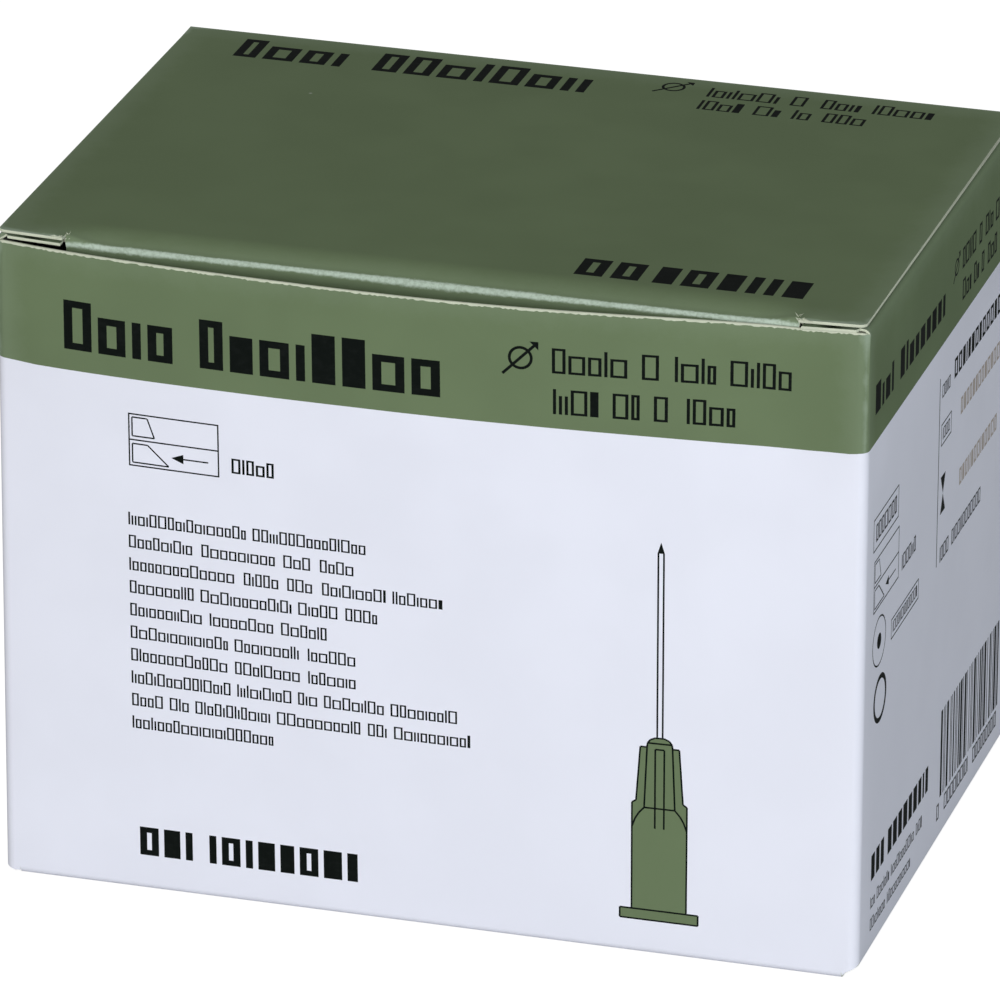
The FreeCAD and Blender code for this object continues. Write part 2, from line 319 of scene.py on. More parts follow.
class Sheet:
    """A flat sheet of board with its print. Each kind adds its outline, its guides, which the
    mesh follows, and the functions that fold it into place and give its thickness."""

    RIM_ROWS = 4
    RIM_BULGE = 0.05
    base = "white"
    extras = ()

    def __init__(self):
        self.prints = []

    def rim(self, flat):
        """How far the cut edge bulges at a flat point, and its ink."""
        return self.RIM_BULGE, "edge"

    def print(self, shapes, ink):
        """Lays closed shapes of one ink on the sheet, over what is printed already."""
        for shape in shapes:
            area = sum(a[0] * b[1] - a[1] * b[0] for a, b in zip(shape, shape[1:] + shape[:1]))
            self.prints.append((shape if area > 0 else shape[::-1], ink))

    def _triangles(self):
        points = []

        def add(loop):
            first = len(points)
            points.extend(Vector(p) for p in loop)
            return list(range(first, len(points)))

        faces = [add(self.outline())] + [add(shape) for shape, _ in self.prints]
        edges = [tuple(add(guide)) for guide in self.guides()]
        found = delaunay_2d_cdt(points, edges, faces, 0, 1e-5)
        kept = [(corners, max(sources)) for corners, sources in zip(found[2], found[5]) if 0 in sources]
        inks = [self.prints[top - 1][1] if top else self.base for _, top in kept]
        used = sorted({corner for corners, _ in kept for corner in corners})
        number = {old: new for new, old in enumerate(used)}
        triangles = [tuple(number[corner] for corner in corners) for corners, _ in kept]
        return [found[0][old] for old in used], triangles, inks

    def mesh(self, name, inks_of):
        """The folded sheet as a closed mesh: printed face, inside face and raw edge."""
        flat, triangles, inks = self._triangles()
        placed = [self.place(*p) for p in flat]
        depths = [self.thickness(*p) for p in flat]
        count = len(flat)
        verts = [point for point, _ in placed]
        verts += [point - out * depth for (point, out), depth in zip(placed, depths)]
        faces = triangles + [(count + c, count + b, count + a) for a, b, c in triangles]
        slots = inks + ["inside"] * len(triangles)
        directed = {(t[i - 1], t[i]) for t in triangles for i in range(3)}
        border = sorted((a, b) for a, b in directed if (b, a) not in directed)
        outward = {}
        for a, b in border:
            away = -left_of(flat[b] - flat[a]).normalized()
            for corner in (a, b):
                outward[corner] = outward.get(corner, Vector((0, 0))) + away
        rows = self.RIM_ROWS
        columns = {}
        for corner, away in outward.items():
            away = away.normalized() * self.rim(flat[corner])[0]
            columns[corner] = [corner, *range(len(verts), len(verts) + rows - 1), count + corner]
            for angle in evenly(0, math.pi, rows)[1:-1]:
                reach = away * math.sin(angle)
                point, out = self.place(flat[corner].x + reach.x, flat[corner].y + reach.y)
                verts.append(point - out * depths[corner] * (1 - math.cos(angle)) / 2)
        for a, b in border:
            for row in range(rows):
                faces.append((*columns[a][row:row + 2], *columns[b][row:row + 2][::-1]))
            slots += [self.rim((flat[a] + flat[b]) / 2)[1]] * rows
        cut = {pair for a, b in border for pair in ((a, b), (count + a, count + b))}
        verts, faces = joined([(verts, faces), *self.extras])
        slots += ["edge"] * (len(faces) - len(slots))
        return finished_mesh(name, verts, faces, [inks_of[slot] for slot in slots], cut=cut)


# Print, in millimetres on the panel that it stands on

def rectangle(x0, y0, x1, y1):
    return [(x0, y0), (x1, y0), (x1, y1), (x0, y1)]


def stroke(a, b, width):
    """A straight line of ink from a to b."""
    a = Vector(a)
    b = Vector(b)
    side = left_of((b - a).normalized() * width / 2)
    return [tuple(a - side), tuple(b - side), tuple(b + side), tuple(a + side)]


def disc(x, y, radius, steps=28):
    return [(x + radius * math.cos(angle), y + radius * math.sin(angle))
            for angle in evenly(0, math.tau, steps)[:-1]]


def outlined_box(x0, y0, x1, y1, line):
    """The four strokes of an outlined box."""
    return [
        rectangle(x0, y0, x1, y0 + line), rectangle(x0, y1 - line, x1, y1),
        rectangle(x0, y0 + line, x0 + line, y1 - line), rectangle(x1 - line, y0 + line, x1, y1 - line),
    ]


def outline_strokes(points, line, closed=True):
    """Strokes along a line of points."""
    return [stroke(a, b, line) for a, b in zip(points, points[1:] + (points[:1] if closed else []))]


class Panel:
    """One printed panel of a sheet. Its print is placed from a point of the panel's own."""

    NARROW_SHARE = 0.22
    LETTER_WIDTH = (0.45, 0.66)
    SMALL_LETTER = 0.74
    LINE = 0.17
    CHIP_LENGTH = 0.28
    BAR_UNIT = 0.27

    def __init__(self, sheet, shift, ground, seed):
        self.sheet = sheet
        self.shift = shift
        self.ground = ground
        self.rng = random.Random(seed)

    def fill(self, *shapes, ink="ink"):
        dx, dy = self.shift
        self.sheet.print([[(x + dx, y + dy) for x, y in shape] for shape in shapes], ink)

    def words(self, x, y, height, lengths, gap=0.0, weight=0.15, tall=0.4, ink="ink"):
        """A row of plain upright boxes where words would stand. lengths holds a length for
        each word. A box is hollow unless it is too narrow, and as high as a large or a small letter."""
        rng = self.rng
        line = height * weight
        for length in lengths:
            end = x + length
            level = height
            while x + line <= end:
                narrow = rng.random() < self.NARROW_SHARE
                width = min(line if narrow else height * rng.uniform(*self.LETTER_WIDTH), end - x)
                self.fill(rectangle(x, y, x + width, y + level), ink=ink)
                if width > 2.6 * line:
                    self.fill(rectangle(x + line, y + line * 0.8, x + width - line, y + level - line * 0.8),
                              ink=self.ground)
                x += width + max(line * 0.75, height * 0.1)
                level = height if rng.random() < tall else height * self.SMALL_LETTER
            x = end + gap

    def ring(self, x, y, radius, line):
        self.fill(disc(x, y, radius))
        self.fill(disc(x, y, radius - line), ink=self.ground)

    def diameter_sign(self, x, y, radius, line):
        """The common sign for a diameter: a ring with a slanted arrow through it."""
        self.ring(x, y, radius, line)
        reach = radius * 1.45
        head = 3 * line
        self.fill(stroke((x - reach, y - reach), (x + reach - line, y + reach - line), line))
        self.fill([(x + reach, y + reach), (x + reach - head, y + reach), (x + reach, y + reach - head)])

    def bevel_pictogram(self, x, y, width, height):
        """An outlined box in two rows, with a short bevel above and a long one below it."""
        line = self.LINE
        room = 0.45
        row = height / 2
        self.fill(*outlined_box(x, y, x + width, y + height, line))
        self.fill(rectangle(x, y + row - line / 2, x + width, y + row + line / 2))
        for low, reach in ((y + row + room, 3.0), (y + room, 4.6)):
            high = low + row - 2 * room
            tip = [(x + room, low), (x + reach, low), (x + 2.2, high), (x + room, high)]
            self.fill(*outline_strokes(tip, line))
        middle = y + row / 2
        head = x + width * 0.5
        self.fill(stroke((head, middle), (x + width * 0.88, middle), line))
        self.fill([(head - 0.3, middle), (head + 1.1, middle - 0.55), (head + 1.1, middle + 0.55)])

    def ragged_strip(self, start, end, level, depth, ink):
        """A strip under an edge where the ink has chipped off, with a ragged lower side."""
        places = evenly(start, end - start, int((end - start) / self.CHIP_LENGTH))
        low = [(x, level(x) - depth * self.rng.uniform(0.35, 1.0)) for x in places]
        self.fill(low + [(end, level(end) + 1), (start, level(end) + 1)], ink=ink)

    def needle_drawing(self, x, foot):
        """A plain drawing of a needle in its hub, outlined and filled with the band's ink."""
        line = 0.2
        tip = foot + 44.7
        hub = foot + 21.4
        half = 0.4
        self.fill([(x - half, hub), (x + half, hub), (x + half, tip - 1.3), (x, tip), (x - half, tip - 1.3)])
        self.fill(rectangle(x - half + line, hub, x + half - line, tip - 1.3), ink="white")
        right = [(4.37, 0), (4.37, 1.2), (3.05, 1.2), (3.05, 13.9), (2.6, 14.2), (2.15, 20.6), (1.4, 20.6),
                 (1.35, 21.1), (1.05, 21.5), (0.5, 21.75)]
        barrel = [(x + dx, foot + dy) for dx, dy in mirrored(right)]
        self.fill(barrel, ink="band")
        self.fill(*outline_strokes(barrel, line))
        shoulder = [(-3.05, 11.0), (-2.7, 12.0), (-2.3, 12.7), (-1.7, 13.4)]
        curve = [(x + dx, foot + dy) for dx, dy in mirrored(shoulder)]
        self.fill(*outline_strokes(curve, line, closed=False))
        for side in (-1, 1):
            self.fill(stroke((x + side * 1.7, foot + 13.4), (x + side * 1.4, foot + 20.8), line),
                      stroke((x + side * 0.5, foot + 11.0), (x + side * 0.5, foot + 20.4), line))
        for half, level in ((0.5, 20.4), (1.35, 21.1), (3.05, 1.2)):
            self.fill(stroke((x - half, foot + level), (x + half, foot + level), line))

    def bars(self, x, y, width, height):
        """Upright bars of three widths, for the place of a bar code, in no coded order."""
        unit = self.BAR_UNIT
        end = x + width
        while x < end:
            bar = unit * self.rng.choice((1, 1, 2, 3))
            self.fill(rectangle(x, y, x + bar, y + height))
            x += bar + unit * self.rng.choice((1, 1, 2, 2, 3))


def front_print(sheet, shift):
    """The front panel: heading, sizes, pictogram, lines of small print and the drawing."""
    band = Panel(sheet, shift, "band", 11)
    band.words(-40.4, 63.5, 5.7, [12.6, 27.8], 3.1, weight=0.18)
    band.diameter_sign(11.1, 69.0, 1.35, 0.32)
    band.words(14.5, 67.5, 2.9, [8.1, 2.0, 4.4, 6.8], 1.5, weight=0.12)
    band.words(14.6, 62.8, 2.9, [4.9, 2.9, 2.0, 5.2], 1.5, weight=0.12)
    panel = Panel(sheet, shift, "white", 12)
    panel.bevel_pictogram(-33.1, 50.9, 10.4, 6.2)
    panel.words(-21.3, 51.6, 1.75, [5.2], tall=0.7)
    lines = [[13.5, 12.8], [7.6, 8.6, 3.4, 3.8], [12.4, 4.2, 3.2, 7.2, 5.6], [7.4, 10.4, 4.6, 3.6],
             [8.4, 7.4, 5.2], [11.2, 7.6, 5.4], [11.2, 7.6, 5.4], [11.4, 6.2, 2.2, 6.8, 7.6],
             [3.6, 2.2, 8.6, 9.6, 2.2, 8.6], [16.2]]
    for row, lengths in enumerate(lines):
        panel.words(-33.3, 43.9 - 2.7 * row, 1.5, lengths, 0.75, weight=0.14, tall=0.3)
    panel.words(-32.7, 4.3, 3.4, [6.6, 17.0], 1.4, weight=0.24, tall=1.0)
    panel.needle_drawing(26.3, 4.2)


def side_print(sheet, shift):
    """The right panel: the heading again, a ruled column, pictograms and a bar pattern."""
    band = Panel(sheet, shift, "band", 23)
    band.words(-28.6, 64.6, 3.4, [8.6, 19.6], 2.0, weight=0.25)
    band.diameter_sign(6.6, 68.3, 1.0, 0.26)
    band.words(9.2, 67.1, 2.4, [6.4, 1.6, 3.5, 5.4], 1.2, weight=0.16)
    band.words(9.5, 63.3, 2.4, [3.9, 2.3, 1.6, 4.2], 1.2, weight=0.16)
    panel = Panel(sheet, shift, "white", 24)
    line = panel.LINE
    panel.fill(rectangle(0.0, 35.5, 0.25, 57.7))
    panel.words(1.2, 55.0, 1.5, [3.6], tall=1.0)
    panel.words(6.6, 55.2, 2.3, [21.4], weight=0.22, tall=1.0)
    panel.fill(*outlined_box(1.1, 49.3, 5.7, 51.9, line))
    panel.words(1.8, 49.9, 1.4, [3.2], tall=1.0)
    panel.words(9.9, 49.7, 2.0, [19.4], weight=0.2, tall=1.0, ink="faint")
    panel.fill([(1.3, 45.6), (3.5, 45.6), (2.4, 43.4)], [(1.3, 41.2), (3.5, 41.2), (2.4, 43.4)])
    panel.words(9.9, 41.3, 2.0, [17.6], weight=0.2, tall=1.0, ink="faint")
    panel.words(1.6, 35.4, 1.8, [3.9, 13.2], 1.4, tall=1.0)
    panel.fill(*outlined_box(-28.3, 48.6, -17.5, 52.4, line))
    panel.words(-27.2, 49.5, 2.0, [8.8], tall=1.0)
    panel.bevel_pictogram(-27.8, 41.3, 10.8, 6.1)
    panel.words(-15.6, 41.5, 1.8, [6.2], tall=0.7)
    panel.ring(-25.0, 37.2, 2.9, 0.2)
    panel.fill(disc(-25.0, 37.2, 0.9))
    panel.fill(*outlined_box(-19.8, 35.1, -7.8, 37.5, line))
    panel.words(-19.1, 35.7, 1.3, [10.6], tall=1.0)
    panel.ring(-24.2, 30.2, 2.8, 0.6)
    panel.bars(4.1, 6.2, 27.0, 10.4)
    panel.words(2.8, 3.8, 1.9, [1.5, 11.2, 11.2], 1.9, tall=1.0)
    panel.words(-26.5, 9.5, 3.0, [5.8, 17.8], 1.4, weight=0.24, tall=1.0)
    panel.words(-26.6, 6.2, 1.4, [2.0, 5.4, 10.2, 2.6], 0.8, tall=0.3)
    panel.words(-26.6, 3.6, 1.4, [6.6, 10.2], 0.8, tall=0.3)


def lid_print(sheet, shift):
    """The lid: the heading along its back edge and a short line at its front."""
    panel = Panel(sheet, shift, "band", 37)
    panel.words(-40.7, 27.1, 5.7, [13.2, 26.4], 3.1, weight=0.18)
    panel.diameter_sign(9.5, 31.8, 1.35, 0.32)
    panel.words(13.7, 29.9, 2.9, [8.1, 2.0, 4.4, 6.8], 1.5, weight=0.12)
    panel.words(13.7, 25.8, 2.9, [4.9, 2.9, 2.0, 5.2], 1.5, weight=0.12)
    panel.words(14.6, -26.5, 4.8, [7.2, 16.6], 1.4, weight=0.24, tall=1.0)


# The carton's blank

GLUE, LEFT, FRONT_PANEL, RIGHT, BACK_PANEL = 0, 2, 4, 6, 8
CREASE_STEPS = 6
FLAP_LINES = 11
BOW_COLUMNS = 30
BOW_ROWS = 10
SLIT = 0.06
BASE_FLAP_PLAY = 0.6
BASE_DUST_LENGTH = 30.0
BASE_DUST_TAPER = 6.0
CORNER_RELIEF = 1.8
CORNER_FOOT = 0.35
SHARP_CORNER = 0.8
WORN_CORNER = 0.7
GLUE_FLAP_WIDTH = 12.0
GLUE_FLAP_TAPER = 4.0
SEAM_SETBACK = 0.2
DUST_FLAP_LENGTH = 32.0
DUST_FRONT_TAPER = 5.0
DUST_BACK_TAPER = 8.0
DUST_CORNER_RADIUS = 4.0
FLAP_PLAY = 0.5
SLIT_PLAY = 0.4
TUCK_PLAY = 0.3
BAND_BLEED = 6.5
BAND_OVERRUN = 5
BAND_DROOP = ((-48.2, 0.18), (-43.7, 0.36), (-30.0, 0.32), (-16.6, 0.26), (-7.6, 0.20), (10.4, 0.22),
              (19.4, 0.31), (28.5, 0.42), (33.0, 0.46), (42.0, 0.38), (46.5, 0.18), (47.6, 0.0))
CORNER_LAP = 0.6
FLAP_LAP = 2.0
CORNER_DROP = 0.2
CORNER_RISE = 0.32
RISE_LENGTH = 5.0
FLAP_SETTLE = 0.1
FLAP_DROOP = 0.2
DROOP_LENGTH = 4.0
FLAP_PRESS = 0.5
PRESS_START = 5.5
PRESS_LENGTH = 5.0
SHOULDER_RISE = 0.3
CHIP_DEPTH = 0.26

# The distance from the hinge to the tuck flap's outside
LID_REACH = HINGE.y - (FRONT + BOARD + TUCK_PLAY)


class CartonBlank(Sheet):
    """The body's blank: x runs round the carton from the glue flap to the back panel's
    seam, and y is the height, which goes on past the creases over the flaps."""

    def __init__(self, settings):
        super().__init__()
        self.board = settings.board / MM
        self.corner = settings.corner_radius / MM
        self.quarter = self.corner * math.pi / 2
        self.front_top = HEIGHT - settings.front_drop / MM
        self.base_radius = settings.base_fold_radius / MM
        self.side_radius = settings.side_fold_radius / MM
        self.base_arc = self.base_radius * math.pi / 2
        self.side_arc = self.side_radius * math.pi / 2
        self.tuck_half = HALF_WIDTH - settings.slit_length / MM
        depth = BACK - FRONT - 2 * self.corner
        width = 2 * (HALF_WIDTH - self.corner)
        turn = (self.quarter, self.corner)
        self.run = Run((-HALF_WIDTH + GLUE_FLAP_WIDTH, BACK - BOARD), math.pi, [
            (GLUE_FLAP_WIDTH - self.corner, 0), turn, (depth - BOARD, 0), turn, (width, 0), turn,
            (depth, 0), turn, (width + self.corner - SEAM_SETBACK, 0),
        ])
        self.side_fold = FLAP_TOP - FLAP_SETTLE - self.side_radius
        self.base_fold = {FRONT_PANEL: self.base_radius, BACK_PANEL: BOARD + self.base_radius,
                          LEFT: 2 * BOARD + self.base_radius, RIGHT: 2 * BOARD + self.base_radius}
        relief = CORNER_RELIEF - self.corner
        self.flap_range = {}
        for panel, length, trim in ((LEFT, depth - BOARD, 0), (RIGHT, depth - BOARD, 0),
                                    (FRONT_PANEL, width, relief), (BACK_PANEL, width, relief)):
            first = self.run.start_of(panel)
            self.flap_range[panel] = (first + trim, first + length - trim)
        shares = (1, 0.75, 0.5, 0.25, 0)
        span = width - settings.front_flat / MM
        stations = [-HALF_WIDTH + self.corner + share * span for share in shares]
        bulges = [4 * share * (1 - share) * settings.front_bow / MM for share in shares]
        self.bow_curve = np.polyfit([HALF_WIDTH - self.corner, *stations], [0.0, *bulges], len(shares))

    def thickness(self, u, t):
        return self.board

    def front_edge(self, past):
        """Height of the front panel's top edge, at a distance past its right crease."""
        return self.front_top + CORNER_RISE * smooth_step(1 + past / RISE_LENGTH)

    def place(self, u, t):
        past = t - self.side_fold
        for panel, (first, last) in self.flap_range.items():
            if panel in (LEFT, RIGHT) and past > 0:
                lap = FLAP_LAP if past > self.side_arc - RIM_ROOM else CORNER_LAP + RIM_ROOM
                if first - lap <= u <= last + lap:
                    return self._over(panel, u, past, self.side_fold, self.side_radius, 1)
            fold = self.base_fold[panel]
            if first - RIM_ROOM <= u <= last + RIM_ROOM and t < fold:
                return self._over(panel, u, fold - t, fold, self.base_radius, -1)
        point, outward = self.run.at(u)
        if self.run.start_of(FRONT_PANEL) <= u <= self.run.start_of(FRONT_PANEL + 1):
            rise = (t - self.base_radius) / (self.front_top - self.base_radius)
            point = point + outward * (float(np.polyval(self.bow_curve, point.x)) * max(rise, 0.0))
        return Vector((*point, t)), Vector((*outward, 0))

    def _over(self, panel, u, beyond, level, radius, up):
        """A point of a flap, at a distance beyond its crease."""
        middle = sum(self.flap_range[panel]) / 2
        point, outward = self.run.at(middle)
        arc = radius * math.pi / 2
        angle = min(beyond, arc) / radius
        flat = max(beyond - arc, 0.0)
        level += up * radius * math.sin(angle)
        if up > 0:
            level -= FLAP_DROOP * smooth_step(flat / DROOP_LENGTH)
            level -= FLAP_PRESS * smooth_step((flat - PRESS_START) / PRESS_LENGTH)
        inward = radius * (1 - math.cos(angle)) + flat
        point = point + left_of(outward) * (u - middle) - outward * inward
        return Vector((*point, level)), Vector((*(outward * math.cos(angle)), up * math.sin(angle)))

    def outline(self):
        """The cut line of the blank, round once against the clock."""
        start = self.run.start_of
        end = self.run.length
        left, right, right_end, rear = start(LEFT + 1), start(RIGHT - 1), start(RIGHT), start(BACK_PANEL)
        trim = self.corner * math.asin(1 - WORN_CORNER / self.corner)
        glue_low = 3 * BOARD + self.base_radius
        reach = BACK - FRONT - BASE_FLAP_PLAY - self.base_radius
        lap = self.side_fold + 2 * SLIT
        top = self.front_top
        first, last = self.flap_range[FRONT_PANEL]
        return rounded([
            (0, glue_low + GLUE_FLAP_TAPER), (start(GLUE + 1), glue_low),
            *self._base_dust_flap(LEFT),
            (left + SLIT, SHARP_CORNER), (first - SLIT, CORNER_FOOT),
            *self._base_flap(FRONT_PANEL, reach),
            (last + SLIT, CORNER_FOOT), (right, self.base_radius), (right_end - SLIT, CORNER_RELIEF),
            *self._base_dust_flap(RIGHT),
            (rear, self.base_radius),
            *self._base_flap(BACK_PANEL, reach - BOARD),
            (end, self.base_fold[BACK_PANEL]), (end, FLAP_TOP), (rear, FLAP_TOP),
            (rear, top), (start(BACK_PANEL - 1), top),
            *self._dust_flap(RIGHT),
            (right_end - CORNER_LAP, lap),
            (right_end - CORNER_LAP - SLIT, top + CORNER_RISE - CORNER_DROP), (right + trim, top + CORNER_RISE),
            *((right - before, self.front_edge(-before)) for before in (1.0, 2.5, RISE_LENGTH)),
            (left + self.quarter - trim, top),
            (left + CORNER_LAP + SLIT, top - CORNER_DROP), (left + CORNER_LAP, lap),
            *self._dust_flap(LEFT),
            (start(GLUE + 1), self.side_fold), (0, self.side_fold - GLUE_FLAP_TAPER),
        ])

    def _base_flap(self, panel, reach):
        """Corners of a long base flap, from left to right."""
        first, last = self.flap_range[panel]
        fold = self.base_fold[panel]
        end = fold - self.base_arc - reach
        return [(first, fold), (first, end, 1), (last, end, 1), (last, fold)]

    def _base_dust_flap(self, panel):
        first, last = self.flap_range[panel]
        fold = self.base_fold[panel]
        flat = fold - self.base_arc
        end = flat - (BASE_DUST_LENGTH - self.base_radius)
        return [
            (first + SLIT, fold), (first + SLIT, flat),
            (first + BASE_DUST_TAPER, end, DUST_CORNER_RADIUS), (last - BASE_DUST_TAPER, end, DUST_CORNER_RADIUS),
            (last - SLIT, flat), (last - SLIT, fold),
        ]

    def _dust_flap(self, panel):
        """Corners of a dust flap, from right to left. Its front has the shoulder that the
        slit of the lid leaves room for."""
        first, last = self.flap_range[panel]
        fold = self.side_fold
        flat = fold + self.side_arc
        shoulder = flat + HALF_WIDTH - self.side_radius - (self.tuck_half + SLIT_PLAY)
        end = flat + DUST_FLAP_LENGTH - self.side_radius
        y_start = FRONT + self.corner
        notch = HINGE.y - LID_REACH + BOARD + TUCK_PLAY - y_start
        front_reach = LID_PLAY - self.corner
        back_reach = BACK - BOARD - FLAP_PLAY - y_start
        corners = [
            (SLIT - CORNER_LAP, fold), (SLIT - CORNER_LAP, flat + SHOULDER_RISE),
            (front_reach, flat + 2 * SHOULDER_RISE), (front_reach, shoulder), (notch, shoulder),
            (notch + DUST_FRONT_TAPER, end, DUST_CORNER_RADIUS),
            (back_reach - DUST_BACK_TAPER, end, DUST_CORNER_RADIUS), (back_reach, flat),
            (last - first - SLIT, flat), (last - first - SLIT, fold),
        ]
        if panel == RIGHT:
            return [(first + x, *rest) for x, *rest in reversed(corners)]
        return [(last - x, *rest) for x, *rest in corners]

    def guides(self):
        """Lines that the mesh follows, so that creases and the bow turn evenly."""
        lines = []
        for crease in (GLUE + 1, LEFT + 1, RIGHT - 1, BACK_PANEL - 1):
            lines += uprights(0, FLAP_TOP, evenly(self.run.start_of(crease), self.quarter, CREASE_STEPS))
        for panel, (first, last) in self.flap_range.items():
            for share in evenly(0, 1, CREASE_STEPS):
                lines += levels(first, last, [self.base_fold[panel] - self.base_arc * share])
                if panel in (LEFT, RIGHT):
                    lines += levels(first - CORNER_LAP, last, [self.side_fold + self.side_arc * share])
        for panel in (LEFT, RIGHT):
            first, last = self.flap_range[panel]
            heights = evenly(self.side_fold + self.side_arc, FLAP_LINES, FLAP_LINES)[1:]
            lines += levels(first - 1, last + 1, heights)
        first = self.run.start_of(FRONT_PANEL)
        last = self.run.start_of(FRONT_PANEL + 1)
        rise = self.front_top - self.base_radius
        lines += uprights(self.base_radius, self.front_top, evenly(first, last - first, BOW_COLUMNS)[1:-1])
        return lines + levels(first, last, evenly(self.base_radius, rise, BOW_ROWS)[1:-1])


# The lid's blank

TUCK_TAPER = 1.5
TUCK_CORNER_RADIUS = 5.0
LID_CORNER_RADIUS = 0.8
LID_BEND_LENGTH = 3.4
HOLD_INSIDE = 5.0
HOLD_OUTSIDE = 2.0
REAR_THICKENING = 4.0
BEND_LINES = 8
TUCK_LINES = 5
LID_COLUMNS = 25
FIBRE_COUNT = 26
FIBRE_WIDTH = 0.05
FIBRE_SPREAD = (-1.2, 0.4)
FIBRE_SEED = 53


class LidBlank(Sheet):
    """The lid's blank: x is the carton's own, and y is minus the distance from the hinge,
    over the lid, its front crease and down the tuck flap."""

    base = "band"

    def __init__(self, settings):
        super().__init__()
        self.board = settings.board / MM
        self.fold = settings.lid_fold_radius / MM
        self.sag = settings.lid_sag / MM
        self.half = LID_HIGH.x
        self.tuck_half = HALF_WIDTH - settings.slit_length / MM
        drop = HEIGHT - self.fold - HINGE.z
        self.crease = math.sqrt((LID_REACH - self.fold) ** 2 - drop ** 2)
        tilt = math.atan2(-drop, self.crease)
        self.crease_length = self.fold * (math.pi / 2 + tilt)
        self.tuck_length = LID_REACH * (math.asin((HINGE.z - LID_LOW.z) / LID_REACH) - tilt)
        self.run = Run((HINGE.y, HEIGHT), math.pi, [
            (self.crease, 0), (self.crease_length, self.fold), (self.tuck_length, LID_REACH),
        ])
        self.extras = self.torn_fibres(settings.fibre_length / MM)

    def thickness(self, x, v):
        """The lid is thicker along its rear edge alone, where it closes on the back panel."""
        return BOARD + (self.board - BOARD) * smooth_step(-v / REAR_THICKENING)

    def bend(self, x, distance):
        """How far the lid has bent down at a distance from the hinge. The bend begins just
        behind the crease and fades out towards the slits, where the lid's corners hold it up."""
        share = min(max((distance - self.crease + LID_BEND_LENGTH) / LID_BEND_LENGTH, 0.0), 1.0)
        hold = smooth_step((abs(x) - self.tuck_half + HOLD_INSIDE) / (HOLD_INSIDE + HOLD_OUTSIDE))
        return self.sag * share ** 2 * (1 - hold)

    def place(self, x, v):
        bend = self.bend(x, -v)
        if abs(x) > self.tuck_half + SLIT and -v > self.crease:
            return Vector((x, HINGE.y + v, HEIGHT - bend)), Vector((0, 0, 1))
        point, outward = self.run.at(-v)
        return Vector((x, point.x, point.y - bend)), Vector((0, *outward))

    def outline(self):
        ear = HINGE.y - FRONT
        shoulder = self.crease + self.crease_length
        tuck = self.tuck_half
        corners = [
            (-self.half, 0), (-self.half, -ear, LID_CORNER_RADIUS), (-tuck - 2 * SLIT, -ear),
            (-tuck - SLIT, -self.crease), (-tuck, -self.crease - SLIT), (-tuck, -shoulder),
            (-tuck + TUCK_TAPER, -shoulder - self.tuck_length, TUCK_CORNER_RADIUS),
        ]
        return rounded(mirrored(corners))

    def guides(self):
        half = self.half
        tuck = self.tuck_half
        shoulder = -self.crease - self.crease_length
        lines = levels(-half, half, [-REAR_THICKENING])
        lines += levels(-tuck, tuck, evenly(-self.crease, -self.crease_length, CREASE_STEPS))
        lines += levels(-tuck, tuck, evenly(shoulder, -self.tuck_length, TUCK_LINES)[1:-1])
        lines += levels(-half, half, evenly(-self.crease, LID_BEND_LENGTH, BEND_LINES)[1:])
        for side in (-1, 1):
            held = evenly(side * (tuck + HOLD_OUTSIDE), -side * (HOLD_OUTSIDE + HOLD_INSIDE), BEND_LINES)
            lines += uprights(LID_BEND_LENGTH - self.crease, shoulder, held)
        return lines + uprights(0, -self.crease, np.linspace(-half, half, LID_COLUMNS)[1:-1])

    def torn_fibres(self, length):
        """Fibres that stand off the board where each slit ends."""
        rng = random.Random(FIBRE_SEED)
        fibres = []
        for side in [-1] * FIBRE_COUNT + [1] * FIBRE_COUNT:
            spread = rng.uniform(*FIBRE_SPREAD)
            x = side * (self.tuck_half - spread)
            if spread < 0:
                root = Vector((x, FRONT, HEIGHT - self.board * rng.uniform(0.1, 0.9)))
                up = Vector((0, -1, 0))
            else:
                root, up = self.place(x, -self.crease - self.crease_length * rng.uniform(0.0, 0.7))
            along = Vector((rng.uniform(-1, 1), 0, rng.uniform(-0.2, 0.5)))
            along = (along - up * along.dot(up) * 0.6).normalized()
            fibres.append(fibre(root, along, up, length * rng.uniform(0.3, 1.0), FIBRE_WIDTH))
        return fibres

    def rim(self, flat):
        """The lid's rear edge is rounded like the crease that it is, and printed."""
        return (BOARD / 2, "band") if flat.y > -TOUCH else super().rim(flat)


# Nodes

